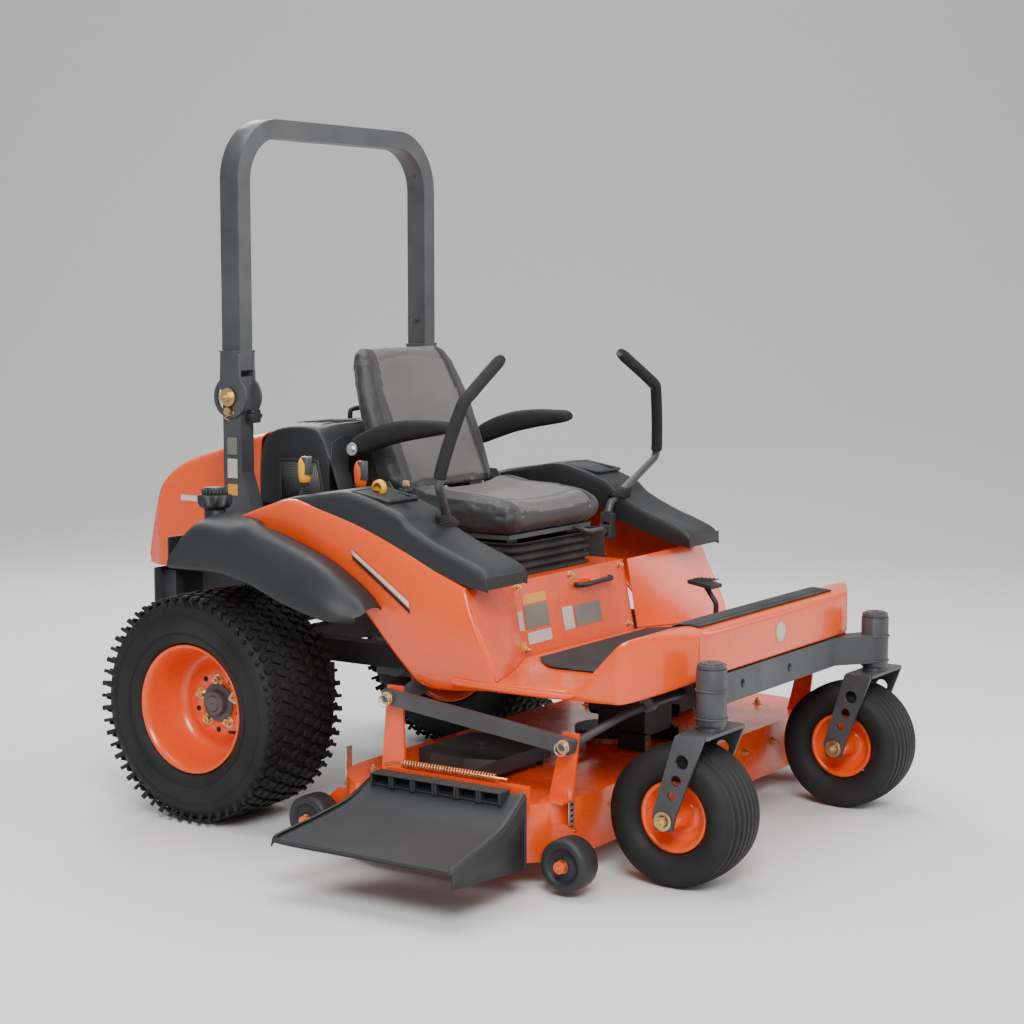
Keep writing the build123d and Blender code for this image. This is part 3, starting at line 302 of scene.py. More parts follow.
def make_materials(finishes):
    """Every finish on the machine, by the name that the pieces use."""
    paint, coat, plastic = tuple(finishes.paint), tuple(finishes.frame_paint), tuple(finishes.plastic)
    return {
        "paint": enamel("orange_enamel", paint),
        "frame": powder_coat("charcoal_powder_coat", coat),
        "plastic": moulded("black_moulding", plastic),
        "soft_plastic": moulded("chute_moulding", shade(plastic, 1.25), 0.56, 500.0, 0.35),
        "tyre": tyre_rubber("tyre_rubber"),
        "vinyl": grained_vinyl("seat_panel_vinyl", tuple(finishes.vinyl)),
        "bolster": grained_vinyl("seat_bolster_vinyl", tuple(finishes.bolster)),
        "zinc": metal("yellow_zinc", (0.72, 0.5, 0.24)),
        "steel": metal("bright_steel", (0.62, 0.62, 0.63), 0.3),
        "cast": powder_coat("cast_metal", (0.09, 0.092, 0.098), 0.55),
        "copper": metal("copper_spring", (0.75, 0.36, 0.16), 0.3),
        "mat": ribbed_rubber("floor_matting"),
        "screen": wire_screen("radiator_screen"),
        "foam": foam("foam_grip"),
        "amber": moulded("amber_knob", (0.9, 0.36, 0.012), 0.35, 700.0, 0.1),
        "red": moulded("red_knob", (0.85, 0.085, 0.01), 0.35, 700.0, 0.1),
        "strip": metal("strip_aluminium", (0.78, 0.76, 0.7), 0.42),
        "label": moulded("blank_label", (0.5, 0.49, 0.44), 0.4, 300.0, 0.03),
        "label_dark": moulded("label_panel", (0.16, 0.15, 0.13), 0.4, 300.0, 0.03),
        "label_amber": moulded("label_amber", (0.75, 0.3, 0.03), 0.4, 300.0, 0.03),
        # dark is painted shade for holes, slots and the bin floor, and also the black band of the right
        # cover's stripe.
        "dark": moulded("inner_shadow", (0.008, 0.008, 0.009), 0.85, 60.0, 0.1),
    }


# ---------------------------------------------------------------- mesh tools

MATERIALS = {}


def piece(name, mesh, body, material, slot=None, replaces=(), smooth=True):
    """Links a finished mesh as a piece that rides on a body."""
    obj = bpy.data.objects.new(name, mesh)
    bpy.context.scene.collection.objects.link(obj)
    names = [material] if isinstance(material, str) else material
    for entry in names:
        mesh.materials.append(MATERIALS[entry])
    if smooth and isinstance(mesh, bpy.types.Mesh):
        mesh.shade_smooth()
    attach(obj, body)
    if replaces:
        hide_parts(*replaces)
    return obj


def close(shape, name):
    """Turns a bmesh into a mesh with its faces turned outwards."""
    bmesh.ops.recalc_face_normals(shape, faces=shape.faces)
    mesh = bpy.data.meshes.new(name)
    shape.to_mesh(mesh)
    shape.free()
    return mesh


def formed(shape, name, *ride, **options):
    """Closes a bmesh and links it as a piece of the same name."""
    return piece(name, close(shape, name), *ride, **options)


def soften(obj, width, segments=2, angle=0.6):
    """Rounds the sharp edges of a piece and keeps its flat faces flat."""
    bevel = obj.modifiers.new("rounded_edges", "BEVEL")
    bevel.width = width
    bevel.segments = segments
    bevel.limit_method = "ANGLE"
    bevel.angle_limit = angle
    bevel.harden_normals = True
    return obj


def spline(points, count):
    """A smooth curve through points, as count points evenly shared between them."""
    rows = [Vector(p) for p in points]
    ends = [rows[0] * 2 - rows[1]] + rows + [rows[-1] * 2 - rows[-2]]
    made = []
    for step in range(count):
        where = step / (count - 1) * (len(rows) - 1)
        index = min(int(where), len(rows) - 2)
        t = where - index
        a, b, c, d = ends[index:index + 4]
        made.append(0.5 * (2 * b + (c - a) * t + (2 * a - 5 * b + 4 * c - d) * t * t
                           + (3 * b - a - 3 * c + d) * t ** 3))
    return made


def grid(shape, rows, wrap=False):
    """Joins rows of points into quads, with the columns closed round if wanted."""
    placed = [[shape.verts.new(p) for p in row] for row in rows]
    for low, high in zip(placed, placed[1:]):
        count = len(low)
        for i in range(count if wrap else count - 1):
            j = (i + 1) % count
            shape.faces.new((low[i], low[j], high[j], high[i]))
    return placed


def skin(name, sections, across, along, thickness, body, material, slot, replaces=(), edge=0.0015):
    """A curved panel through cross sections given in millimetres, with a real sheet thickness."""
    rows = [spline([at(*p) for p in section], across) for section in sections]
    columns = [spline(column, along) for column in zip(*rows)]
    shape = bmesh.new()
    grid(shape, columns)
    obj = formed(shape, name, body, material, slot, replaces)
    solid = obj.modifiers.new("sheet", "SOLIDIFY")
    solid.thickness = thickness
    solid.offset = -1
    if edge:
        soften(obj, edge, 2, 0.9)
    return obj


def lathe_rows(profile, centre, steps):
    """Rows of points for (x, radius) millimetre pairs turned about an axle along x."""
    rows = []
    for x, radius in profile:
        rows.append([centre + Vector((x, radius * math.cos(a), radius * math.sin(a))) / 1000
                     for a in (2 * math.pi * i / steps for i in range(steps))])
    return rows


def lathe(name, profile, centre, steps, body, material, slot, replaces=(), edge=0.0):
    """A turned piece about an axle along x."""
    shape = bmesh.new()
    grid(shape, lathe_rows(profile, centre, steps), wrap=True)
    bmesh.ops.remove_doubles(shape, verts=shape.verts, dist=1e-5)
    obj = formed(shape, name, body, material, slot, replaces)
    if edge:
        soften(obj, edge)
    return obj


def tube(name, points, radius, body, material, slot, replaces=(), steps=12, smooth_count=0):
    """A round bar along points in millimetres, closed at both ends."""
    path = [at(*p) for p in points]
    if smooth_count:
        path = spline(path, smooth_count)
    shape = bmesh.new()
    add_tube(shape, path, radius / 1000, steps)
    return piece(name, close(shape, name), body, material, slot, replaces)


def add_tube(shape, path, radius, steps=12, end_round=True):
    """Adds a round bar along a path in metres; radius may be one value or one for each point."""
    count = len(path)
    radii = radius if isinstance(radius, (list, tuple)) else [radius] * count
    side = None
    rings = []
    for i, point in enumerate(path):
        ahead = (path[min(i + 1, count - 1)] - path[max(i - 1, 0)]).normalized()
        if side is None:
            side = ahead.orthogonal().normalized()
        side = (side - ahead * side.dot(ahead)).normalized()
        other = ahead.cross(side)
        rings.append([point + (side * math.cos(a) + other * math.sin(a)) * radii[i]
                      for a in (2 * math.pi * k / steps for k in range(steps))])
    placed = grid(shape, rings, wrap=True)
    for ring, inward in ((placed[0], path[0] - path[1]), (placed[-1], path[-1] - path[-2])):
        middle_point = sum((v.co for v in ring), Vector()) / steps
        tip = shape.verts.new(middle_point + inward.normalized() * radii[0] * (0.35 if end_round else 0.02))
        for k in range(steps):
            shape.faces.new((ring[k], ring[(k + 1) % steps], tip))


def add_block(shape, centre, size, turn=None):
    """Adds a box by its centre in metres and its size in millimetres."""
    spin = turn.to_4x4() if turn else Matrix.Identity(4)
    scale = Matrix.Diagonal(Vector(size) / 1000).to_4x4()
    bmesh.ops.create_cube(shape, size=1, matrix=Matrix.Translation(centre) @ spin @ scale)


def add_disc(shape, centre, axis, radius, height, sides=20, cone=1.0):
    """Adds a short cylinder, or a prism, along an axis; sizes in millimetres."""
    turn = Vector((0, 0, 1)).rotation_difference(Vector(axis)).to_matrix().to_4x4()
    bmesh.ops.create_cone(shape, cap_ends=True, segments=sides, radius1=radius / 1000,
                          radius2=radius * cone / 1000, depth=height / 1000,
                          matrix=Matrix.Translation(centre) @ turn)


def bolts(name, places, axis, across, body, material="zinc", slot="zinc"):
    """Hexagon bolts with washers; the heads stand out along the axis."""
    shape = bmesh.new()
    out = Vector(axis).normalized()
    for place in places:
        add_disc(shape, at(*place) + out * 0.001, out, across * 0.95, 2, 24)
        add_disc(shape, at(*place) + out * (0.002 + across * 0.0003), out, across * 0.62, across * 0.6, 6)
        add_disc(shape, at(*place) + out * (0.002 + across * 0.0008), out, across * 0.3, across * 0.5, 14)
    obj = formed(shape, name, body, material, slot, smooth=False)
    return soften(obj, 0.0005, 1)


def slab(name, outline, x_from, x_to, body, material, slot, replaces=(), edge=0.002):
    """A flat plate: an outline of (y, z) millimetre points between two x positions."""
    shape = bmesh.new()
    low = [shape.verts.new(at(x_from, y, z)) for y, z in outline]
    high = [shape.verts.new(at(x_to, y, z)) for y, z in outline]
    shape.faces.new(low)
    shape.faces.new(list(reversed(high)))
    for i in range(len(outline)):
        j = (i + 1) % len(outline)
        shape.faces.new((low[j], low[i], high[i], high[j]))
    obj = formed(shape, name, body, material, slot, replaces, smooth=False)
    return soften(obj, edge)


# ---------------------------------------------------------------- wheels


def tread_blocks(shape, centre, sizes, radius, half):
    """Turf tread: staggered blocks across the tyre, and bars that wrap over each shoulder."""
    count = sizes.tread_blocks
    rise = sizes.tread_height * 1000
    rows = [(-0.78, 26), (-0.52, 30), (-0.26, 28), (0.0, 30), (0.26, 28), (0.52, 30), (0.78, 26)]
    for index, (share, width) in enumerate(rows):
        for step in range(count):
            turn = 2 * math.pi * (step + 0.5 * (index % 2)) / count
            out = Vector((0, math.cos(turn), math.sin(turn)))
            crown = radius - rise * 0.55 - 7 * share * share
            twist = Matrix.Rotation(math.radians(22 * (-1) ** index), 3, "Y")
            place = centre + Vector((share * half, 0, 0)) / 1000 + out * crown / 1000
            add_block(shape, place, (width, rise, 17), Matrix.Rotation(turn, 3, "X") @ twist)
    for edge in (-1, 1):
        for step in range(count):
            turn = 2 * math.pi * (step + 0.25) / count
            out = Vector((0, math.cos(turn), math.sin(turn)))
            lean = Matrix.Rotation(turn, 3, "X") @ Matrix.Rotation(math.radians(edge * 58), 3, "Z")
            place = centre + Vector((edge * half * 0.925, 0, 0)) / 1000 + out * (radius - 20) / 1000
            add_block(shape, place, (34, 8, 13 if step % 2 else 9), lean)


class MOWER_OT_rear_wheels(bpy.types.Operator):
    """Rear tyres with turf blocks, dished rims, hub plates, lug bolts and valves"""

    bl_idname = "mower.rear_wheels"
    bl_label = "Rear wheels"

    def execute(self, context):
        sizes = context.scene.mower_sizes
        for side, s in SIDES.items():
            body = f"rear_wheel_{side}"
            low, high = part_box(f"rear_tyre_{side}")
            centre = (low + high) / 2
            radius = (high.z - low.z) * 500
            half = (high.x - low.x) * 500
            carcass = [(-0.78, 168), (-0.9, 176), (-0.985, 205), (-0.995, 235), (-0.95, 262),
                       (-0.86, radius - 19), (-0.7, radius - 12), (-0.35, radius - 9), (0.0, radius - 8)]
            profile = [(share * half, r) for share, r in carcass]
            profile += [(-x, r) for x, r in reversed(profile[:-1])]
            lathe(f"tyre_carcass_{side}", profile, centre, 128, body, "tyre", "rubber_tyre",
                  (f"rear_tyre_{side}",))
            shape = bmesh.new()
            tread_blocks(shape, centre, sizes, radius, half)
            name = f"turf_tread_{side}"
            soften(formed(shape, name, body, "tyre", "rubber_tyre", smooth=False), 0.0018, 1)
            for ridge, reach in ((198, 0.985), (246, 0.99)):
                ring = [(s * half * reach - s * 1.5, ridge - 2), (s * half * reach + s * 1.0, ridge),
                        (s * half * reach - s * 1.5, ridge + 2)]
                lathe(f"sidewall_ring_{side}_{ridge}", ring, centre, 96, body, "tyre", "rubber_tyre")
            self.rim(side, s, body, centre, half)
        return {"FINISHED"}

    def rim(self, side, s, body, centre, half):
        """The dished rim, its offset hub plate, bolts, hub and valve."""
        dish = [(0.80, 168), (0.86, 169), (0.875, 165), (0.84, 160), (0.80, 156), (0.72, 151),
                (0.35, 147), (0.12, 143), (-0.02, 134), (-0.05, 118), (0.0, 104), (0.06, 92),
                (0.075, 78), (0.075, 36)]
        back = [(0.05, 36), (0.05, 92), (-0.08, 118), (-0.1, 134), (-0.3, 147), (-0.72, 151),
                (-0.80, 160), (-0.875, 165), (-0.86, 169), (-0.80, 168)]
        profile = [(s * share * half, r) for share, r in dish + back]
        lathe(f"rim_{side}", profile, centre, 96, body, "paint", "orange_paint", (f"rear_rim_{side}",))
        face = s * (0.075 * half)
        hub = [(face, 2), (face + s * 26, 2), (face + s * 27, 19), (face + s * 21, 22), (face + s * 20, 31),
               (face + s * 3, 34), (face + s * 3, 50), (face, 51)]
        lathe(f"hub_{side}", hub, centre, 48, body, "cast", "engine_grey", edge=0.001)
        inner = [(face - s * 6, 4), (face - s * 150, 4), (face - s * 150, 22), (face - s * 30, 22),
                 (face - s * 30, 48), (face - s * 6, 50)]
        lathe(f"axle_flange_{side}", inner, centre, 48, body, "cast", "engine_grey", edge=0.001)
        places, holes = [], bmesh.new()
        origin = (centre - DATUM) * 1000
        for step in range(5):
            turn = math.radians(72 * step + 18)
            places.append((origin.x + face, origin.y + 60 * math.cos(turn), origin.z + 60 * math.sin(turn)))
            turn += math.radians(36)
            spot = centre + Vector((face + s * 0.6, 72 * math.cos(turn), 72 * math.sin(turn))) / 1000
            add_disc(holes, spot, (1, 0, 0), 7, 1.6, 20)
        bolts(f"lug_bolts_{side}", places, (s, 0, 0), 17, body)
        # The hub holes are dark discs of painted shade.
        formed(holes, f"hub_holes_{side}", body, "dark", "black_plastic")
        turn = math.radians(200)
        root = Vector((origin.x + s * half * 0.66, origin.y + 146 * math.cos(turn),
                       origin.z + 146 * math.sin(turn)))
        tip = root + Vector((s * 20, -12 * math.cos(turn), -12 * math.sin(turn)))
        tube(f"valve_{side}", [root, tip], 4, body, "tyre", "rubber")


class MOWER_OT_casters(bpy.types.Operator):
    """Caster tyres with ribs, their rims, fork axle bolts and spindle caps"""

    bl_idname = "mower.casters"
    bl_label = "Casters"

    def execute(self, context):
        for side, s in SIDES.items():
            body = f"caster_wheel_{side}"
            low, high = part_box(f"caster_tyre_{side}")
            centre = (low + high) / 2
            radius, half = (high.z - low.z) * 500, (high.x - low.x) * 500
            profile = [(-0.62 * half, 88), (-0.8 * half, 92), (-0.96 * half, 112), (-half, 134),
                       (-0.94 * half, 150)]
            ribs = 7
            for rib in range(ribs):
                start = -0.86 + 1.72 * rib / ribs
                crown = radius - 11 * (start + 0.123) ** 2
                for share, drop in ((0.01, 6), (0.035, 0.6), (0.12, 0), (0.205, 0.6), (0.235, 6)):
                    profile.append(((start + share) * half, crown - drop))
            profile += [(-x, r) for x, r in reversed(profile[:5])]
            lathe(f"caster_tyre_ribbed_{side}", profile, centre, 112, body, "tyre", "rubber_tyre",
                  (f"caster_tyre_{side}",))
            rim = [(-0.60, 86), (-0.68, 86), (-0.68, 80), (-0.60, 74), (-0.25, 68), (-0.14, 52), (-0.12, 32),
                   (-0.3, 28), (-1.05, 24), (-1.05, 10), (1.05, 10), (1.05, 24), (0.3, 28), (0.12, 32),
                   (0.14, 52), (0.25, 68), (0.60, 74), (0.68, 80), (0.68, 86), (0.60, 86)]
            lathe(f"caster_rim_pressed_{side}", [(share * half, r) for share, r in rim], centre, 80, body,
                  "paint", "orange_paint", (f"caster_rim_{side}",))
            self.fork(side, centre)
        return {"FINISHED"}

    def fork(self, side, centre):
        """Axle bolts on the bent-plate fork, and its spindle cap."""
        body, node = f"caster_{side}", f"caster_fork_{side}"
        origin = (centre - DATUM) * 1000
        low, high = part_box(node)
        outer = (high.x - low.x) * 500 - 12
        for face in (-1, 1):
            x = origin.x + face * (outer + 3)
            bolts(f"fork_bolt_{side}_{'in' if face < 0 else 'out'}", [(x, origin.y, origin.z)], (face, 0, 0),
                  24, body)
        top = high.z * 1000
        shape = bmesh.new()
        pivot = Vector(((low.x + high.x) / 2, 0, 0))
        trail = 67
        pivot.y = at(0, origin.y - trail, 0).y
        for height, radius, depth in ((top - 3, 34, 11), (top + 3, 27, 6), (top + 6, 9, 5)):
            add_disc(shape, Vector((pivot.x, pivot.y, height / 1000)), (0, 0, 1), radius, depth, 40)
        name = f"spindle_cap_{side}"
        soften(formed(shape, name, body, "frame", "frame_paint", smooth=False), 0.002, 3)


# ---------------------------------------------------------------- frame and roll bar


class MOWER_OT_frame(bpy.types.Operator):
    """Finishes of the carried-over frame pieces, with weld beads and bolts"""

    bl_idname = "mower.frame"
    bl_label = "Frame"

    CARRIED = {
        "main_frame": "frame", "front_axle_beam": "frame", "rops_posts": "frame", "radiator": "cast",
        "engine": "cast", "fuel_tanks": "plastic", "hydro_drives": "cast", "seat_suspension": "frame",
        "seat_pan": "frame", "seat_box": "paint", "rops_hoop": "frame", "caster_fork_left": "frame",
        "caster_fork_right": "frame", "rops_lock_pin_left": "zinc", "rops_lock_pin_right": "zinc",
        "lever_hub_left": "frame", "lever_hub_right": "frame", "steering_lever_left": "frame",
        "steering_lever_right": "frame", "deck_shell": "paint", "deck_side_bars": "frame",
        "deck_lift_arms": "frame", "front_links": "frame", "belt_drive": "plastic", "front_roller": "tyre",
        "blade_left": "steel", "blade_centre": "steel", "blade_right": "steel", "deck_lift_pedal": "plastic",
        "gauge_wheel_front_left": "tyre", "gauge_wheel_front_right": "tyre",
        "gauge_wheel_rear_left": "tyre", "gauge_wheel_rear_right": "tyre", "fuel_cap": "plastic",
        "rops_knob_left": "plastic", "rops_knob_right": "plastic", "cut_height_lever": "frame",
        "parking_brake_lever": "frame", "discharge_chute": "soft_plastic", "floor_mat": "mat",
        "floor_platform": "paint", "side_cover_left": "paint", "side_cover_right": "paint",
        "fenders": "plastic", "consoles": "plastic", "radiator_shroud": "plastic", "hood": "paint",
        "armrest_left": "foam", "armrest_right": "foam", "seat_cushion": "bolster", "seat_back": "bolster",
    }

    def execute(self, context):
        edge = context.scene.mower_sizes.edge_radius
        for node, material in self.CARRIED.items():
            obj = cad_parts[node]
            obj.data.materials.clear()
            obj.data.materials.append(MATERIALS[material])
            if obj.hide_render:
                continue
            weld = obj.modifiers.new("joined_corners", "WELD")
            weld.merge_threshold = 0.00002
            soften(obj, edge, 2, 0.6)
        self.welds()
        self.roll_bar()
        return {"FINISHED"}

    def welds(self):
        """Weld beads round the pivot tubes and at the cheek plates."""
        shape = bmesh.new()
        for s in SIDES.values():
            for height in (400, 466):
                ring = [at(s * 456 + 37 * math.cos(a), -1400 + 37 * math.sin(a), height)
                        for a in (2 * math.pi * i / 40 for i in range(41))]
                beads = [0.0026 + 0.0006 * math.sin(i * 2.2) for i in range(41)]
                add_tube(shape, ring, beads, 8)
        formed(shape, "pivot_welds", "chassis", "frame", "frame_paint")
        shape = bmesh.new()
        for s in SIDES.values():
            for face in (-1, 1):
                x = s * 415 + face * 30
                route = [at(x, 26 + 69 * i / 30, 1216 + 1.5 * math.sin(i * 1.3)) for i in range(31)]
                add_tube(shape, route, [0.003 + 0.0007 * math.sin(i * 2.1) for i in range(31)], 8)
        formed(shape, "cheek_welds", "rops", "frame", "frame_paint")

    def roll_bar(self):
        """Pivot bolts, lock pin clips, hoop end bolts and blank labels on the posts."""
        for side, s in SIDES.items():
            for face in (-1, 1):
                x = s * 415 + face * 41
                end = "in" if face * s < 0 else "out"
                bolts(f"fold_bolt_{side}_{end}", [(x, 60, 1096)], (face, 0, 0), 26, "chassis")
            bolts(f"hoop_bolts_{side}", [(s * 390, 58, 1712), (s * 390, 58, 1290)], (-s, 0, 0), 12, "rops",
                  "frame", "frame_paint")
            clip = [(s * 452 + s * 3 * math.sin(i), 60 + 14 * math.cos(i * 0.7), 1067 - 3 * i)
                    for i in range(12)]
            tube(f"lock_pin_clip_{side}", clip, 1.3, f"lock_pin_{side}", "zinc", "zinc", smooth_count=60,
                 steps=8)
            for index, (z, height, finish) in enumerate(((965, 46, "label_dark"), (905, 52, "label"),
                                                         (848, 30, "label_amber"))):
                label_plate(f"post_label_{side}_{index}", s * 441, 60, z, 34, height, finish)


def label_plate(name, x, y, z, width, height, finish):
    """A blank label on an upright face that looks sideways."""
    shape = bmesh.new()
    add_block(shape, at(x, y, z), (1.2, width, height))
    soften(formed(shape, name, "chassis", finish, "black_plastic", smooth=False), 0.0004, 1)


# ---------------------------------------------------------------- body panels


class MOWER_OT_side_covers(bpy.types.Operator):
    """Side covers: a bulged outer skin with a rolled top edge and a slanted front face"""

    bl_idname = "mower.side_covers"
    bl_label = "Side covers"

    TOP = [(-100, 803), (-180, 832), (-259, 851), (-360, 832), (-482, 799), (-600, 755), (-720, 702),
           (-782, 673)]
    LOW = [(-112, 797), (-215, 766), (-300, 728), (-400, 665), (-492, 590), (-605, 474), (-690, 418),
           (-880, 428)]

    def execute(self, context):
        for side, s in SIDES.items():
            sections = []
            for (ty, tz), (ly, lz) in zip(self.TOP, self.LOW):
                height = math.hypot(tz - lz, ty - ly)
                bulge = min(16.0, height * 0.06)
                section = [(s * 560, ty, tz + 2), (s * 578, ty, tz + 1), (s * 588, ty + (ly - ty) * 0.06,
                                                                          tz + (lz - tz) * 0.06)]
                for share in (0.3, 0.6, 0.85):
                    section.append((s * (589 + bulge * math.sin(math.pi * share) * 0.7),
                                    ty + (ly - ty) * share, tz + (lz - tz) * share))
                section.append((s * 588, ly, lz))
                section.append((s * 576, ly + 3, lz + 3))
                sections.append(section)
            front = [(s * 560, -790, 671), (s * 578, -797, 668), (s * 586, -801, 652), (s * 589, -824, 602),
                     (s * 589, -852, 548), (s * 589, -880, 485), (s * 587, -893, 430), (s * 575, -893, 430)]
            sections.append(front)
            skin(f"side_skin_{side}", sections, 22, 54, 0.0035, "chassis", "paint", "orange_paint",
                 (f"side_cover_{side}",))
            face = []
            for share in (0.0, 0.25, 0.5, 0.75, 1.0):
                x = s * (587 + (284 - 587) * share)
                swell = 8 * math.sin(math.pi * share)
                column = []
                for (oy, oz), (iy, iz) in (((-799, 666), (-735, 641)), ((-836, 580), (-748, 574)),
                                           ((-872, 505), (-759, 512)), ((-893, 451), (-770, 452))):
                    column.append((x, oy + (iy - oy) * share - swell, oz + (iz - oz) * share))
                face.append(column)
            skin(f"side_front_{side}", face, 14, 20, 0.0035, "chassis", "paint", "orange_paint")
        self.stripe()
        return {"FINISHED"}

    def stripe(self):
        """A plain two-tone stripe on the right cover, in place of lettering."""
        for index, (low, high, finish) in enumerate(((0.40, 0.47, "label"), (0.49, 0.53, "dark"))):
            sections = []
            for share in (0.0, 0.33, 0.66, 1.0):
                y = -455 - 175 * share
                top, bottom = 806 - 92 * share, 640 - 150 * share
                column = [(-603.6 + 1.5 * math.sin(3 * share), y - 30 * cut, top + (bottom - top) * cut)
                          for cut in (low, (low + high) / 2, high)]
                sections.append(column)
            skin(f"cover_stripe_{index}", sections, 5, 18, 0.0006, "chassis", finish, "black_plastic", edge=0)


class MOWER_OT_fenders(bpy.types.Operator):
    """Rear fenders with a rolled outer lip, a crease and a flat rear deck"""

    bl_idname = "mower.fenders"
    bl_label = "Fenders"

    def execute(self, context):
        stations = [(46, 748, 700, 668), (10, 786, 742, 668), (-37, 803, 772, 668), (-110, 800, 770, 668),
                    (-180, 790, 752, 660), (-250, 770, 728, 642), (-330, 744, 700, 612),
                    (-410, 712, 664, 588), (-480, 672, 624, 574), (-530, 636, 596, 572),
                    (-556, 606, 584, 576)]
        for side, s in SIDES.items():
            sections = []
            for index, (y, crown, shoulder, low) in enumerate(stations):
                inner = 454 if index < 4 else 594
                reach = 715 if index < 9 else 705 - 8 * (index - 8)
                skew = 14 if index > 3 else 0
                sections.append([(s * inner, y, crown - 10), (s * (inner + 12), y, crown - 2),
                                 (s * (inner + (reach - inner) * 0.35), y, crown + 2),
                                 (s * (inner + (reach - inner) * 0.66), y, crown - 3),
                                 (s * (reach - 18), y + skew * 0.5, shoulder + 8),
                                 (s * (reach - 3), y + skew, (shoulder + low) / 2 + 8),
                                 (s * reach, y + skew, low + 8), (s * (reach - 8), y + skew, low)])
            skin(f"fender_shell_{side}", sections, 26, 60, 0.004, "chassis", "plastic", "black_plastic",
                 ("fenders",) if s < 0 else ())
            rear = [[(s * x, 50, z) for z in (748, 715, 690)] for x in (456, 560, 650, 708)]
            skin(f"fender_end_{side}", rear, 6, 12, 0.004, "chassis", "plastic", "black_plastic")
        self.filler()
        return {"FINISHED"}

    def filler(self):
        """Lobed fuel cap on a ribbed neck."""
        low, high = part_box("fuel_cap")
        centre = (low + high) / 2
        shape = bmesh.new()
        rows = []
        for z, radius, lobe in ((-0.4, 34, 0), (-4, 41, 0), (-10, 42, 0), (-11, 45, 0.08), (-31, 46, 0.08),
                                (-35, 42, 0.07), (-36, 34, 0.02)):
            rows.append([Vector((centre.x, centre.y, low.z)) + Vector((
                radius * (1 + lobe * math.cos(8 * a) - lobe) * math.cos(a),
                radius * (1 + lobe * math.cos(8 * a) - lobe) * math.sin(a), -z)) / 1000
                for a in (2 * math.pi * i / 96 for i in range(96))])
        rows.append([Vector((centre.x, centre.y, low.z + 0.0365))] * 96)
        rows.insert(0, [Vector((centre.x, centre.y, low.z + 0.0003))] * 96)
        grid(shape, rows, wrap=True)
        bmesh.ops.remove_doubles(shape, verts=shape.verts, dist=1e-5)
        for step in range(20):
            turn = 2 * math.pi * step / 20
            spot = (Vector((centre.x, centre.y, high.z - 0.016))
                    + Vector((math.cos(turn), math.sin(turn), 0)) * 0.032)
            add_block(shape, spot, (5, 6, 22), Matrix.Rotation(turn, 3, "Z"))
        crown = Vector((centre.x, centre.y, high.z - 0.012))
        add_disc(shape, crown, (0, 0, 1), 31, 20, 40, 0.9)
        formed(shape, "filler_cap", "cap", "plastic", "black_plastic", replaces=("fuel_cap",))


class MOWER_OT_consoles(bpy.types.Operator):
    """Control consoles with rounded shoulders and a storage bin"""

    bl_idname = "mower.consoles"
    bl_label = "Consoles"

    def execute(self, context):
        stations = [(-203, 846, 832), (-250, 858, 836), (-340, 872, 826), (-421, 882, 808), (-500, 868, 790),
                    (-562, 848, 770), (-600, 832, 752), (-640, 800, 732), (-720, 762, 704), (-800, 733, 680),
                    (-846, 714, 672), (-862, 700, 668)]
        for side, s in SIDES.items():
            sections = []
            for y, top, low in stations:
                sink = 0 if y > -570 else 6
                sections.append([(s * 410, y, low - 4), (s * 408, y, (low + top) / 2), (s * 412, y, top - 6),
                                 (s * 426, y, top), (s * 500, y, top - sink), (s * 556, y, top - 1),
                                 (s * 574, y, top - 9), (s * 582, y, top - 28), (s * 584, y, low - 6)])
            skin(f"console_shell_{side}", sections, 40, 70, 0.0035, "chassis", "plastic", "black_plastic",
                 ("consoles",) if s < 0 else ())
            front = [[(s * x, -862 - 4 * math.sin(math.pi * i / 3), z) for z in (699, 684, 668)]
                     for i, x in enumerate((412, 466, 526, 582))]
            skin(f"console_nose_{side}", front, 6, 12, 0.0035, "chassis", "plastic", "black_plastic")
            self.bin(side, s)
        return {"FINISHED"}

    def bin(self, side, s):
        """A raised rim with a dark floor."""
        shape = bmesh.new()
        rim = [(434, -546), (556, -546), (556, -436), (434, -436)]
        path = []
        for x, y in rim:
            path.append(at(s * x, y, 878 + (y + 436) * 0.16))
        path.append(path[0])
        dense = []
        for a, b in zip(path, path[1:]):
            dense += [a.lerp(b, i / 8) for i in range(8)]
        dense.append(path[0])
        add_tube(shape, dense, 0.005, 8)
        formed(shape, f"bin_rim_{side}", "chassis", "plastic", "black_plastic")
        # The bin's floor is a dark sheet of painted shade.
        shape = bmesh.new()
        corners = [shape.verts.new(at(s * x, y, 872 + (y + 436) * 0.16)) for x, y in
                   ((440, -540), (550, -540), (550, -442), (440, -442))]
        shape.faces.new(corners)
        obj = formed(shape, f"bin_floor_{side}", "chassis", "dark", "black_plastic")
        solid = obj.modifiers.new("sheet", "SOLIDIFY")
        solid.thickness = 0.002


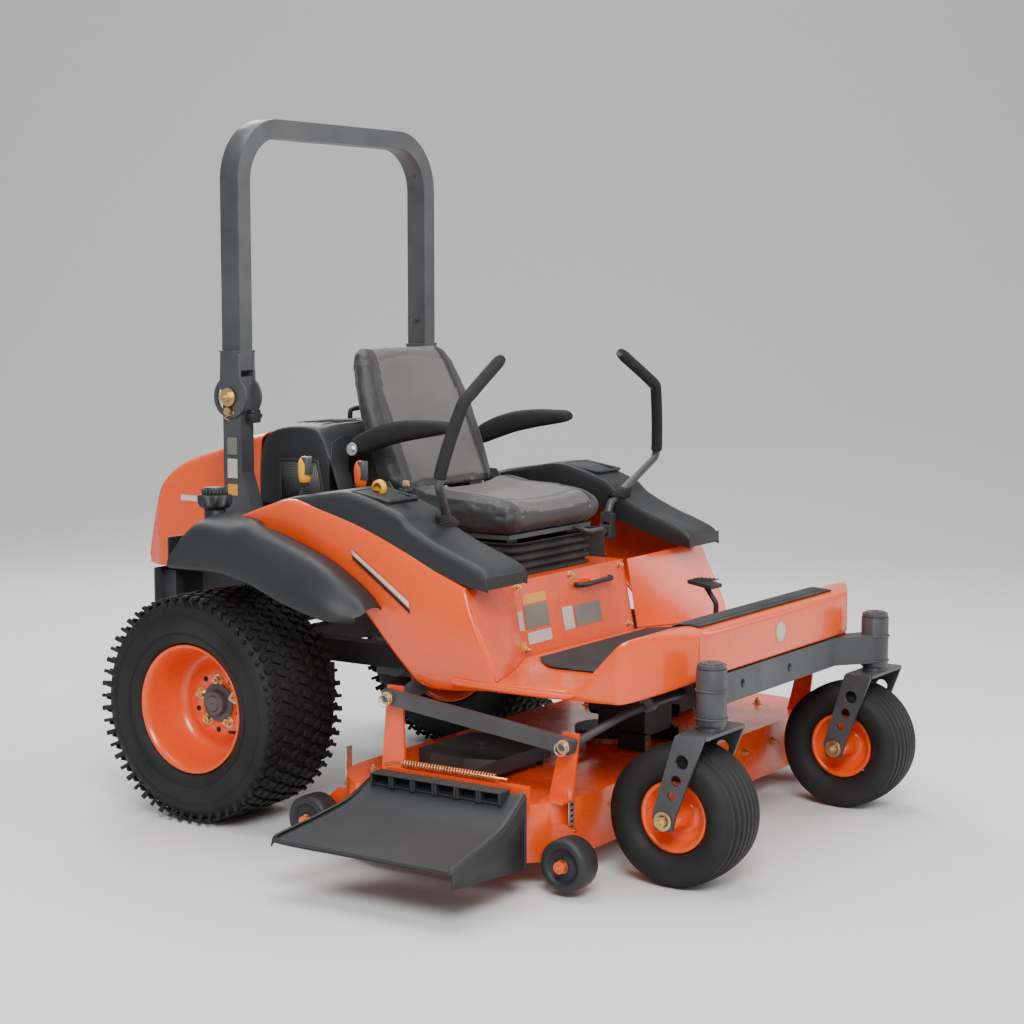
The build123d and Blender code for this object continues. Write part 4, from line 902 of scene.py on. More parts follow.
class MOWER_OT_platform(bpy.types.Operator):
    """Foot platform with rolled edges, a side crease, and its mat"""

    bl_idname = "mower.platform"
    bl_label = "Foot platform"

    def execute(self, context):
        stations = [(-770, 450, 440, 596), (-860, 450, 434, 598), (-960, 450, 431, 599),
                    (-1060, 451, 431, 599),
                    (-1110, 458, 431, 599), (-1160, 500, 431, 598), (-1205, 548, 432, 596),
                    (-1240, 580, 434, 588),
                    (-1280, 590, 446, 530), (-1320, 587, 462, 455), (-1340, 583, 472, 408)]
        sections = []
        for y, top, low, half in stations:
            edge = 14
            side = [(0, y, top), (half * 0.5, y, top), (half * 0.85, y, top), (half - edge, y, top - 1),
                    (half - 3, y, top - 7), (half, y, top - 18), (half + 0.8, y, (top + low) / 2 - 2),
                    (half - 1, y, low + 8), (half - 5, y, low)]
            sections.append([(-x, a, b) for x, a, b in reversed(side[1:])] + side)
        skin("platform_shell", sections, 66, 60, 0.0035, "chassis", "paint", "orange_paint",
             ("floor_platform",))
        front = []
        for share in [i / 10 - 1 for i in range(21)]:
            half = 404 * share
            bow = 7 * (abs(share) ** 6)
            front.append([(half, -1340 + bow * 0.2, 584), (half, -1346 + bow, 578), (half, -1347 + bow, 560),
                          (half, -1347 + bow, 500), (half, -1345 + bow, 478), (half, -1340, 474)])
        skin("platform_front", front, 16, 60, 0.0035, "chassis", "paint", "orange_paint")
        badge = bmesh.new()
        add_disc(badge, at(0, -1348.5, 533), (0, -1, 0), 24, 3, 48)
        soften(formed(badge, "round_badge", "chassis", "label", "zinc", smooth=False), 0.001, 2)
        self.mat()
        return {"FINISHED"}

    def mat(self):
        """Rubber mat with rounded corners, rows of studs and grip blocks on the step."""
        route = [(-812, 454.5), (-900, 454.5), (-1000, 454.5), (-1090, 455.5), (-1118, 468), (-1160, 506),
                 (-1205, 552), (-1240, 584), (-1262, 593), (-1290, 592), (-1315, 590)]
        rows = []
        for y, z in route:
            half = 268 if y > -880 else 352
            rows.append([(x * half, y, z) for x in (-1, -0.98, -0.5, 0, 0.5, 0.98, 1)])
        skin("rubber_mat", rows, 30, 60, 0.003, "chassis", "mat", "rubber", ("floor_mat",))
        shape = bmesh.new()
        for row in range(7):
            y = -880 - row * 30
            for column in range(22):
                x = -330 + column * 31.4 + (8 if row % 2 else 0)
                add_block(shape, at(x, y, 456.2), (20, 9, 2.4))
        for row in range(2):
            for column in range(22):
                add_block(shape, at(-330 + column * 31.4, -1275 - row * 22, 594.2), (20, 9, 2.4))
        soften(formed(shape, "mat_studs", "chassis", "mat", "rubber", smooth=False), 0.0007, 1)


class MOWER_OT_seat_box(bpy.types.Operator):
    """Seat box face: handle, latch bolts and blank label plates"""

    bl_idname = "mower.seat_box"
    bl_label = "Seat box details"

    def execute(self, context):
        def face(x, z, out=1.0):
            return x, -762 + (z - 446) * 0.196 - out, z

        for index, (x, z, wide, tall, finish) in enumerate((
                (-185, 590, 110, 24, "label_amber"), (-185, 545, 110, 60, "label_dark"),
                (-185, 492, 110, 30, "label"), (-40, 520, 50, 60, "label"), (60, 520, 130, 56, "label_dark"),
                (-262, 540, 22, 50, "label"), (-262, 480, 22, 14, "label_amber"))):
            shape = bmesh.new()
            add_block(shape, at(*face(x, z)), (wide, 1.2, tall), Matrix.Rotation(math.radians(-11), 3, "X"))
            soften(formed(shape, f"box_label_{index}", "chassis", finish,
                         "black_plastic", smooth=False), 0.0004, 1)
        handle = [face(20, 600, 0), face(22, 600, 16), face(40, 600, 22), face(100, 602, 22),
                  face(160, 602, 22),
                  face(178, 602, 16), face(180, 602, 0)]
        tube("box_handle", handle, 7, "chassis", "plastic", "black_plastic", smooth_count=30)
        bolts("box_bolts", [face(x, z, 0) for x, z in ((-255, 625), (255, 625), (-255, 465), (255, 465),
                                                       (0, 628))],
              (0, -1, 0.2), 11, "chassis")
        return {"FINISHED"}


class MOWER_OT_rear_body(bpy.types.Operator):
    """Radiator shroud with screens, slots and handle, and the rear hood"""

    bl_idname = "mower.rear_body"
    bl_label = "Shroud and hood"

    def execute(self, context):
        self.shroud()
        self.hood()
        return {"FINISHED"}

    def ring(self, y, half, top, bottom, round_x, round_z):
        """One cross section over the machine: a wide arch with rounded shoulders."""
        side = [(0, y, top), (half * 0.45, y, top - 1), (half * 0.8, y, top - 4),
                (half - round_x * 0.3, y, top - round_z * 0.3), (half - 3, y, top - round_z),
                (half, y, (top + bottom) / 2), (half, y, bottom)]
        return [(-x, a, b) for x, a, b in reversed(side[1:])] + side

    def shroud(self):
        """Black shroud behind the seat."""
        stations = [(-222, 822, 806), (-205, 872, 806), (-178, 948, 806), (-152, 1000, 806),
                    (-120, 1022, 806),
                    (-40, 1024, 806), (20, 1010, 806), (48, 985, 806), (60, 948, 806)]
        sections = [self.ring(y, 328, top, low, 46, 30) for y, top, low in stations]
        skin("shroud_shell", sections[2:], 60, 44, 0.004, "chassis", "plastic", "black_plastic",
             ("radiator_shroud",))
        mouth = bmesh.new()
        outer = [(-326, 812), (-326, 930), (-300, 975), (-250, 990), (250, 990), (300, 975), (326, 930),
                 (326, 812)]
        inner = [(-262, 812), (-262, 905), (-240, 942), (-205, 955), (205, 955), (240, 942), (262, 905),
                 (262, 812)]
        front = [[at(x, -226 + (z - 812) * 0.36, z) for x, z in line] for line in (outer, inner)]
        grid(mouth, front)
        obj = formed(mouth, "shroud_front", "chassis", "plastic", "black_plastic",
                    smooth=False)
        solid = obj.modifiers.new("sheet", "SOLIDIFY")
        solid.thickness = 0.006
        soften(obj, 0.002)
        for side, s in SIDES.items():
            shape = bmesh.new()
            frame_line = [(-14, 818), (-14, 926), (-142, 926), (-166, 818)]
            face = [at(s * 329.2, y, z) for y, z in frame_line]
            shape.faces.new([shape.verts.new(p) for p in face])
            obj = formed(shape, f"side_screen_{side}", "chassis", "screen",
                        "black_plastic")
            obj.modifiers.new("sheet", "SOLIDIFY").thickness = 0.002
            loop = [at(s * 330, y, z) for y, z in frame_line + frame_line[:1]]
            dense = [a.lerp(b, i / 10) for a, b in zip(loop, loop[1:]) for i in range(10)] + [loop[0]]
            shape = bmesh.new()
            add_tube(shape, dense, 0.0045, 8)
            formed(shape, f"screen_rim_{side}", "chassis", "plastic", "black_plastic")
        # The top slots are dark bars of painted shade.
        slots = bmesh.new()
        for s in SIDES.values():
            for row in range(5):
                add_block(slots, at(s * 190, -128 + row * 26, 1025.0 - abs(row - 1.5) * 1.2), (150, 9, 2.2))
        soften(formed(slots, "top_slots", "chassis", "dark", "black_plastic", smooth=False),
               0.0008, 1)
        tube("shroud_handle", [(-72, -50, 1020), (-72, -50, 1038), (-60, -50, 1049), (0, -50, 1051),
                               (60, -50, 1049), (72, -50, 1038), (72, -50, 1020)], 7, "chassis", "plastic",
             "black_plastic", smooth_count=36)
        rad = bmesh.new()
        for row in range(26):
            add_block(rad, at(0, -23, 826 + row * 4.3), (520, 3, 1.6))
        formed(rad, "radiator_fins", "chassis", "cast", "engine_grey", smooth=False)

    def hood(self):
        """Orange rear hood with rounded shoulders, a side crease and a blank mark."""
        stations = [(68, 999, 640), (110, 990, 636), (160, 976, 628), (210, 957, 614), (290, 933, 609),
                    (360, 909, 606), (405, 884, 604), (442, 848, 603), (472, 800, 603), (492, 750, 603),
                    (503, 705, 603), (508, 660, 604)]
        sections = []
        for y, top, low in stations:
            section = self.ring(y, 318, top, low, 58, 44)
            sections.append([(x * (1.0 if y < 440 else 1.0 - (y - 440) / 700), a, b) for x, a, b in section])
        skin("hood_shell", sections, 64, 60, 0.0035, "hood_body", "paint", "orange_paint", ("hood",))
        rear = [[(x, y, z) for y, z in ((505, 662), (507, 645), (502, 620), (497, 606))]
                for x in (-288, -200, -100, 0, 100, 200, 288)]
        skin("hood_rear_lip", rear, 12, 30, 0.0035, "hood_body", "paint", "orange_paint")
        # The hood slots are dark bars of painted shade.
        slots = bmesh.new()
        for row in range(6):
            y, z = 478 + row * 5.2, 790 - row * 15.5
            add_block(slots, at(0, y, z), (300, 3, 7), Matrix.Rotation(math.radians(-18), 3, "X"))
        soften(formed(slots, "hood_slots", "hood_body", "dark", "black_plastic",
                     smooth=False), 0.001, 1)
        for side, s in SIDES.items():
            shape = bmesh.new()
            add_block(shape, at(s * 318.6, 285, 800), (2, 150, 16))
            soften(formed(shape, f"hood_mark_{side}", "hood_body", "label", "zinc",
                         smooth=False), 0.0008, 1)
            shape = bmesh.new()
            add_disc(shape, at(s * 318.5, 130, 700), (s, 0, 0), 17, 8, 30)
            soften(formed(shape, f"hood_latch_{side}", "hood_body", "plastic",
                         "black_plastic", smooth=False), 0.002)


# ---------------------------------------------------------------- seat


def cushion_form(shape, rows):
    """Closes a stack of equal rings into a solid form."""
    placed = grid(shape, rows, wrap=True)
    for ring in (placed[0], placed[-1]):
        shape.faces.new(ring)


def inflate(obj, pressure, cap):
    """Fills a closed form with air in the cloth solver, then keeps each point within a distance."""
    remesh = obj.modifiers.new("even_mesh", "REMESH")
    remesh.mode = "VOXEL"
    remesh.voxel_size = 0.007
    settle(obj)
    rest = [vertex.co.copy() for vertex in obj.data.vertices]
    cloth = obj.modifiers.new("cloth", "CLOTH")
    cloth.settings.use_pressure = True
    cloth.settings.uniform_pressure_force = pressure
    cloth.settings.quality = 4
    cloth.settings.effector_weights.gravity = 0
    cloth.settings.tension_stiffness = 25
    cloth.settings.compression_stiffness = 25
    scene = bpy.context.scene
    for number in range(1, 15):
        scene.frame_set(number)
    settle(obj)
    scene.frame_set(1)
    for vertex, start in zip(obj.data.vertices, rest):
        move = vertex.co - start
        if move.length > cap:
            vertex.co = start + move * (cap / move.length)


def settle(obj):
    """Applies an object's modifiers by swapping in the evaluated mesh."""
    bpy.context.view_layer.update()
    graph = bpy.context.evaluated_depsgraph_get()
    mesh = bpy.data.meshes.new_from_object(obj.evaluated_get(graph))
    obj.modifiers.clear()
    obj.data = mesh


def channel(obj, paths, depth, width):
    """Sinks sewn channels into a soft form along paths in metres."""
    rows = [p for path in paths for p in path]
    obj.data.update()
    normals = [v.normal.copy() for v in obj.data.vertices]
    tree = KDTree(len(rows))
    for index, point in enumerate(rows):
        tree.insert(point, index)
    tree.balance()
    for vertex, normal in zip(obj.data.vertices, normals):
        _, _, distance = tree.find(vertex.co)
        if distance < width * 2.5:
            vertex.co -= normal * depth * math.exp(-(distance / width) ** 2)


def stitches(name, path, body, pitch=0.007):
    """A row of thread stitches along a path in metres."""
    shape = bmesh.new()
    total = 0.0
    for a, b in zip(path, path[1:]):
        total += (b - a).length
        if total >= pitch:
            total = 0.0
            add_tube(shape, [a, a.lerp(b, 0.5), b], 0.0007, 5)
    return piece(name, close(shape, name), body, "bolster", "vinyl")


class MOWER_OT_seat(bpy.types.Operator):
    """Seat cushion, backrest and armrests in two vinyls, with sewn channels and hardware"""

    bl_idname = "mower.seat"
    bl_label = "Seat"

    def execute(self, context):
        depth = context.scene.mower_sizes.seam_depth
        self.cushion(depth)
        self.back(depth)
        self.arms()
        return {"FINISHED"}

    def finish_pad(self, obj, inside, fill):
        """Gives the centre panel its own vinyl and one subdivision."""
        mesh = obj.data
        mesh.materials.clear()
        mesh.materials.append(MATERIALS["bolster"])
        mesh.materials.append(MATERIALS["vinyl"])
        for polygon in mesh.polygons:
            polygon.material_index = 1 if inside(polygon.center, polygon.normal) else 0
        mesh.shade_smooth()
        sub = obj.modifiers.new("rounder", "SUBSURF")
        sub.levels = sub.render_levels = 1

    def cushion(self, depth):
        """The cushion: waterfall front, raised wings and a dished centre."""
        stations = [(-694, 776, 812, 208), (-676, 757, 826, 222), (-640, 753, 834, 232),
                    (-560, 753, 838, 238),
                    (-470, 753, 842, 240), (-410, 753, 852, 238), (-375, 755, 858, 228),
                    (-362, 770, 846, 214)]
        shape = bmesh.new()
        rows = []
        for y, low, top, half in stations:
            side = [(0, low), (half * 0.8, low), (half, low + 12), (half + 2, (low + top) / 2 + 4),
                    (half - 8, top - 2 + (6 if y > -620 else 0)), (half * 0.72, top + (4 if y > -600 else 0)),
                    (half * 0.35, top - 8), (0, top - 10)]
            ring = side + [(-x, z) for x, z in reversed(side[1:-1])]
            rows.append([at(x, y, z) for x, z in ring])
        cushion_form(shape, rows)
        obj = formed(shape, "seat_cushion_pad", "seat_base", "bolster", "vinyl",
                    ("seat_cushion",))
        inflate(obj, 3.0, 0.006)
        seams = []
        for s in (-1, 1):
            line = [at(s * (172 + 10 * math.sin(math.pi * i / 90)), -685 + 318 * i / 90, 0)
                    for i in range(91)]
            seams.append([self.drop(obj, p) for p in line])
        cross = [self.drop(obj, at(-172 + 344 * i / 90, -640, 0)) for i in range(91)]
        seams.append(cross)
        low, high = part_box("seat_cushion")
        waist = [at(x, y, 800) for x, y in self.round_outline(low, high)]
        channel(obj, seams, depth, 0.006)
        channel(obj, [waist], depth * 0.8, 0.005)
        reach = at(172, 0, 0).x - DATUM.x
        self.finish_pad(obj, lambda c, n: abs(c.x - DATUM.x) < reach and n.z > 0.35, 0.8)
        for index, line in enumerate(seams[:2]):
            stitches(f"cushion_stitch_{index}", [p + Vector((0.006 * (1 if index else -1), 0, 0.0005))
                                                 for p in line], "seat_base")

    def round_outline(self, low, high):
        """The cushion's outline in plan, as (x, y) millimetres from the datum."""
        ax, bx = (low.x - DATUM.x) * 1000, (high.x - DATUM.x) * 1000
        ay, by = (low.y - DATUM.y) * 1000, (high.y - DATUM.y) * 1000
        made = []
        for i in range(160):
            a = 2 * math.pi * i / 160
            c, d = math.cos(a), math.sin(a)
            made.append(((ax + bx) / 2 + (bx - ax) / 2 * math.copysign(abs(c) ** 0.45, c),
                         (ay + by) / 2 + (by - ay) / 2 * math.copysign(abs(d) ** 0.45, d)))
        return made

    def drop(self, obj, point):
        """The point of a soft form's top straight below a place."""
        hit, place, _, _ = obj.ray_cast(Vector((point.x, point.y, 2.0)), Vector((0, 0, -1)))
        return place if hit else point

    def back(self, depth):
        """The backrest: rounded shoulders, side bolsters and a stitched panel."""
        low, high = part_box("seat_back")
        shape = bmesh.new()
        rows = []
        stations = [(846, 214), (870, 232), (930, 240), (1000, 242), (1070, 240), (1130, 228), (1180, 212),
                    (1212, 196), (1226, 176)]
        for z, half in stations:
            lean = (z - 842) * 0.3944
            front, rear = -341 + lean, -341 + lean + 74 - (z - 842) * 0.062
            pull = 0 if z < 1200 else (z - 1200) * 0.5
            front, rear = front + pull, rear - pull
            side = [(0, front + 10), (half * 0.45, front + 8), (half * 0.74, front + 1),
                    (half - 12, front - 1),
                    (half, front + 14), (half + 1, (front + rear) / 2), (half - 10, rear - 5),
                    (half * 0.5, rear),
                    (0, rear)]
            ring = side + [(-x, y) for x, y in reversed(side[1:-1])]
            rows.append([at(x, y, z) for x, y in ring])
        cushion_form(shape, rows)
        obj = formed(shape, "backrest_pad", "seat_back_body", "bolster", "vinyl",
                    ("seat_back",))
        inflate(obj, 3.0, 0.006)
        seams = []
        for s in (-1, 1):
            line = [at(s * (176 - 30 * (i / 90) ** 3), 0, 862 + 350 * i / 90) for i in range(91)]
            seams.append([self.onto_front(obj, p) for p in line])
        seams.append([self.onto_front(obj, at(-148 + 296 * i / 90, 0, 1186 + 14 * math.sin(math.pi * i / 90)))
                      for i in range(91)])
        channel(obj, seams, depth, 0.006)
        reach = 0.168
        crest = at(0, 0, 1190).z
        self.finish_pad(obj, lambda c, n: abs(c.x - DATUM.x) < reach - max(0, c.z - 1.1) * 0.25
                        and n.y < -0.2 and c.z < crest + 0.03, 0.75)
        for index, line in enumerate(seams[:2]):
            stitches(f"back_stitch_{index}", [p + Vector((0.006 * (1 if index else -1), -0.0005, 0))
                                              for p in line], "seat_back_body")

    def onto_front(self, obj, point):
        """The point of the backrest's front face level with a place."""
        hit, place, _, _ = obj.ray_cast(Vector((point.x, point.y - 3, point.z)), Vector((0, 1, 0)))
        return place if hit else point

    def arms(self):
        """Curved armrest pads, with a bright pivot bolt each."""
        for side, s in SIDES.items():
            body = f"armrest_body_{side}"
            stations = [(-232, 962, 38), (-250, 968, 56), (-300, 988, 62), (-360, 1006, 60), (-430, 1018, 52),
                        (-490, 1024, 42), (-526, 1027, 33), (-541, 1027, 20)]
            shape = bmesh.new()
            rows = []
            for index, (y, z, tall) in enumerate(stations):
                wide = 27 if index not in (0, 7) else 20
                ring = []
                for k in range(20):
                    a = 2 * math.pi * k / 20
                    c, d = math.cos(a), math.sin(a)
                    ring.append(at(s * 290 + wide * math.copysign(abs(c) ** 0.7, c), y,
                                   z + tall / 2 * math.copysign(abs(d) ** 0.75, d)))
                rows.append(ring)
            columns = [spline(column, 34) for column in zip(*rows)]
            cushion_form(shape, [list(row) for row in zip(*columns)])
            obj = formed(shape, f"armrest_pad_{side}", body, "foam", "rubber",
                        replaces=(f"armrest_{side}",))
            shape = bmesh.new()
            add_disc(shape, at(s * 319, -250, 962), (s, 0, 0), 17, 7, 32)
            add_disc(shape, at(s * 324, -250, 962), (s, 0, 0), 9, 6, 6)
            soften(formed(shape, f"arm_bolt_{side}", body, "steel", "steel",
                         smooth=False), 0.001)
            tube(f"arm_pin_{side}", [(s * 246, -250, 960), (s * 255, -250, 960), (s * 264, -250, 960)],
                 9, body,
                 "steel", "steel")


# ---------------------------------------------------------------- controls


class MOWER_OT_steering_levers(bpy.types.Operator):
    """Foam grips and rubber boots on the two steering levers"""

    bl_idname = "mower.steering_levers"
    bl_label = "Steering levers"

    def execute(self, context):
        for side, s in SIDES.items():
            body = f"lever_{side}"
            route = [at(s * x, y, z) for x, y, z in
                     ((529, -685, 921), (527, -688, 945), (505, -700, 1020), (476, -713, 1096),
                      (462, -716, 1114),
                      (436, -715, 1129), (380, -711, 1160), (291, -705, 1208))]
            path = spline(route, 90)
            shape = bmesh.new()
            rings = []
            frame_up = Vector((0, 1, 0))
            for index, point in enumerate(path):
                ahead = path[min(index + 1, 89)] - path[max(index - 1, 0)]
                ahead.normalize()
                across = ahead.cross(frame_up).normalized()
                lift = across.cross(ahead)
                edge = min(index, 89 - index)
                radius = 0.0158 - 0.0035 * max(0, 1 - edge / 3) ** 2
                rings.append([point + (across * math.cos(a) + lift * math.sin(a)) * radius
                              for a in (2 * math.pi * k / 20 for k in range(20))])
            cushion_form(shape, rings)
            obj = formed(shape, f"lever_grip_{side}", body, "foam", "rubber")
            self.boot(side, s)
        return {"FINISHED"}

    def boot(self, side, s):
        """A ribbed rubber boot where the lever leaves the side console."""
        shape = bmesh.new()
        rings = []
        for step in range(25):
            t = step / 24
            swell = 0.0035 * math.cos(step * math.pi / 2) * (1 - t)
            radius_x = 0.034 - 0.018 * t + swell
            radius_y = 0.026 - 0.012 * t + swell
            centre = at(s * (420 + 34 * t), -626 - 8 * t, 792 + 34 * t)
            rings.append([centre + Vector((radius_x * math.cos(a), radius_y * math.sin(a),
                                           -s * 0.35 * radius_x * math.cos(a)))
                          for a in (2 * math.pi * k / 28 for k in range(28))])
        cushion_form(shape, rings)
        formed(shape, f"lever_boot_{side}", f"lever_{side}", "mat", "rubber")


class MOWER_OT_hand_controls(bpy.types.Operator):
    """Moulded knobs on the height and brake levers, small switches, and the seat's suspension boot"""

    bl_idname = "mower.hand_controls"
    bl_label = "Hand controls"

    def execute(self, context):
        knob = [(0, 0.0001), (0, 11), (3, 14), (14, 16), (34, 17.5), (50, 17), (60, 14), (67, 8),
                (69, 0.0001)]
        for node, body, look, slot in (("cut_height_lever", "height_lever", "amber", "amber_knob"),
                                       ("parking_brake_lever", "brake_lever", "red", "red_knob")):
            low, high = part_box(node)
            self.knob(node, body, look, slot, low, high, knob)
        self.switches()
        self.suspension()
        self.pedal()
        return {"FINISHED"}

    def knob(self, node, body, look, slot, low, high, profile):
        """A rounded knob over the lever's end."""
        tall = 0.069
        centre = Vector(((low.x + high.x) / 2, low.y + 0.021, high.z - tall + 0.002))
        shape = bmesh.new()
        rings = []
        for along, radius in profile:
            rings.append([centre + Vector((radius / 1000 * math.cos(a), radius / 1000 * math.sin(a),
                                           along / 1000))
                          for a in (2 * math.pi * k / 32 for k in range(32))])
        cushion_form(shape, rings)
        formed(shape, f"{node}_knob", body, look, slot)
        shape = bmesh.new()
        add_disc(shape, centre + Vector((0, 0, -0.004)), (0, 0, 1), 11, 8, 28)
        soften(formed(shape, f"{node}_collar", body, "plastic", "black_plastic",
                     smooth=False), 0.001)

    def switches(self):
        """Key switch and blade switch on the consoles' tops."""
        top = 886
        shape = bmesh.new()
        add_disc(shape, at(-500, -560, top), (0, 0, 1), 17, 7, 36)
        add_disc(shape, at(-500, -560, top + 6), (0, 0, 1), 11, 9, 36)
        soften(formed(shape, "key_switch", "chassis", "plastic", "black_plastic",
                     smooth=False), 0.001)
        shape = bmesh.new()
        add_block(shape, at(-500, -560, top + 14), (4, 20, 18))
        soften(formed(shape, "key", "chassis", "zinc", "zinc", smooth=False), 0.0015)
        lathe("blade_switch", [(0, 13), (3, 20), (12, 21), (15, 19), (16, 0.1)],
              at(-500, -470, top), 32, "chassis",
              "amber", "amber_knob")

    def suspension(self):
        """A ribbed boot round the seat's suspension."""
        shape = bmesh.new()
        rows = []
        for step in range(33):
            z = 641 + 86 * step / 32
            bulge = 6 * math.cos(step * math.pi / 4)
            row = []
            for k in range(72):
                a = 2 * math.pi * k / 72
                c, d = math.cos(a), math.sin(a)
                row.append(at((190 + bulge) * math.copysign(abs(c) ** 0.22, c),
                              -536 + (142 + bulge) * math.copysign(abs(d) ** 0.22, d), z))
            rows.append(row)
        grid(shape, rows, wrap=True)
        obj = formed(shape, "suspension_boot", "chassis", "mat", "rubber")
        obj.modifiers.new("sheet", "SOLIDIFY").thickness = 0.0025

    def pedal(self):
        """Grip ribs on the lift pedal's pad."""
        low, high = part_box("deck_lift_pedal")
        shape = bmesh.new()
        for row in range(5):
            add_block(shape, Vector(((low.x + high.x) / 2, low.y + 0.014 + row * 0.0125, high.z + 0.0008)),
                      ((high.x - low.x) * 1000 - 10, 4, 3))
        soften(formed(shape, "pedal_ribs", "pedal", "mat", "rubber", smooth=False), 0.0008)


# ---------------------------------------------------------------- deck


class MOWER_OT_deck(bpy.types.Operator):
    """Deck hardware: height strips, lift pins, chute, hinge spring and gauge wheels"""

    bl_idname = "mower.deck"
    bl_label = "Mower deck"

    def execute(self, context):
        self.height_strips()
        self.lift_pins()
        self.chute()
        self.gauge_wheels()
        self.belt_covers()
        return {"FINISHED"}

    def height_strips(self):
        """Slotted aluminium strips by the gauge wheels, which show the cutting height."""
        for side, s in SIDES.items():
            for end, y, foot, face in (("front", -1121.5, 142, -1), ("rear", -468.5, 165, 1)):
                name = f"height_strip_{side}_{end}"
                shape = bmesh.new()
                add_block(shape, at(s * 620, y + face * 1.5, foot + 42), (24, 3, 84))
                soften(formed(shape, name, "deck", "strip", "zinc", smooth=False), 0.0008, 1)
                # The height slots are dark marks of painted shade.
                shape = bmesh.new()
                for row in range(6):
                    add_block(shape, at(s * 620, y + face * 3.2, foot + 10 + row * 13), (12, 0.8, 5))
                name = f"height_slots_{side}_{end}"
                formed(shape, name, "deck", "dark", "black_plastic", smooth=False)
                bolts(f"strip_bolt_{side}_{end}", [(s * 620, y, foot - 12)], (0, face, 0), 12, "deck",
                      "copper")

    def lift_pins(self):
        """Washers and ring clips on the lift pins, and the deck's own bolts."""
        for side, s in SIDES.items():
            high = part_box("deck_side_bars")[1]
            reach = (high.x - DATUM.x) * 1000 - 6
            for y, foot in ((-617, 392), (-1125, 335)):
                name = f"lift_washer_{side}_{-y}"
                shape = bmesh.new()
                add_disc(shape, at(s * reach, y, foot), (s, 0, 0), 17, 3, 30)
                add_disc(shape, at(s * (reach + 2), y, foot), (s, 0, 0), 11.5, 7, 30)
                soften(formed(shape, name, "deck", "zinc", "zinc", smooth=False), 0.0008)
                ring = [(s * (reach + 5), y + 5 + 15 * math.cos(a), foot - 6 + 15 * math.sin(a))
                        for a in (math.pi * k / 6 for k in range(12))]
                tube(f"lift_clip_{side}_{-y}", ring + ring[:1], 1.5, "deck", "steel", "steel", steps=8,
                     smooth_count=60)
        bolts("deck_bolts", [(x, -1121.5, 150) for x in (-420, -250, 250, 420)], (0, -1, 0), 13, "deck")
        bolts("deck_top_bolts", [(x, y, 201) for x in (-640, -360, 360, 640) for y in (-960, -560)],
              (0, 0, 1),
              15, "deck")

    def chute(self):
        """The moulded discharge chute with its raised border, hinge knuckles and copper spring."""
        low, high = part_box("discharge_chute")
        front, rear = (low.y - DATUM.y) * 1000, (high.y - DATUM.y) * 1000
        tip, hinge = (low.x - DATUM.x) * 1000, (high.x - DATUM.x) * 1000 - 11
        wing = rear - 90
        drop = [(0.0, 247), (0.04, 240), (0.2, 206), (0.34, 184), (0.6, 163), (0.85, 146), (0.97, 137),
                (1.0, 128)]
        sections = []
        for share, z in drop:
            x = hinge + (tip - hinge) * share
            back = wing + 8 + (rear - wing - 14) * share
            edge = 9 * min(1.0, 3 * share)
            sections.append([(x, front + 3, z - 30 - 16 * (1 - share)), (x, front + 3, z - 10),
                             (x, front + 6, z - 2),
                             (x, front + 16, z + 1), (x, front + 26, z - 3), (x, (front + back) / 2, z - 3),
                             (x, back - 26, z - 3), (x, back - 14, z - 3 + edge), (x, back - 5, z - 4 + edge),
                             (x, back, z - 12)])
        skin("chute_shell", sections, 60, 60, 0.004, "chute", "soft_plastic", "black_plastic",
             ("discharge_chute",))
        slab("chute_side", [(front + 2, 75), (front + 2, 236), (front + 7, 236), (front + 7, 75)],
             hinge, hinge - 9,
             "chute", "soft_plastic", "black_plastic")
        side = [[at(hinge + (tip - hinge) * share, front + 4, z)
                 for z in (z_top - 4, (z_top + z_low) / 2, z_low)]
                for share, z_top, z_low in ((0.0, 240, 74), (0.35, 182, 80), (0.7, 156, 88), (1.0, 130, 94))]
        shape = bmesh.new()
        grid(shape, side)
        flank = formed(shape, "chute_flank", "chute", "soft_plastic", "black_plastic")
        flank.modifiers.new("sheet", "SOLIDIFY").thickness = 0.004
        lip = [(tip + 3, front + 5, 130), (tip + 3, (front + rear) / 2, 131), (tip + 3, rear - 40, 131),
               (tip + 12, rear - 14, 133), (tip + 40, rear - 7, 138)]
        tube("chute_lip", lip, 5, "chute", "soft_plastic", "black_plastic", steps=12, smooth_count=50)
        self.knuckles(hinge, wing)

    def knuckles(self, hinge, wing):
        """A row of hollow hinge knuckles, the hinge rod and the long return spring."""
        shape = bmesh.new()
        first, pitch = wing - 42, 62
        for row in range(6):
            y = first - pitch * row
            for z, size in ((250, (46, pitch - 4, 5)), (224, (34, pitch - 4, 5))):
                add_block(shape, at(hinge - 20, y, z), size)
            add_block(shape, at(hinge - 4, y, 237), (5, pitch - 4, 30))
            for edge in (-1, 1):
                add_block(shape, at(hinge - 21, y + edge * (pitch / 2 - 4), 236), (42, 7, 32))
        soften(formed(shape, "chute_knuckles", "chute", "soft_plastic", "black_plastic",
                     smooth=False), 0.0025, 2)
        line = hinge + 20
        coil = [at(line + 8 * math.cos(a), first - 20 - 270 * a / (2 * math.pi * 34), 268 + 8 * math.sin(a))
                for a in (2 * math.pi * k / 14 for k in range(34 * 14))]
        shape = bmesh.new()
        add_tube(shape, coil, 0.0021, 6)
        formed(shape, "chute_spring", "deck", "copper", "steel")
        tube("chute_rod", [(line, wing - 12, 259), (line, wing - 40, 268), (line, wing - 360, 268)], 3.2,
             "deck", "copper", "steel")

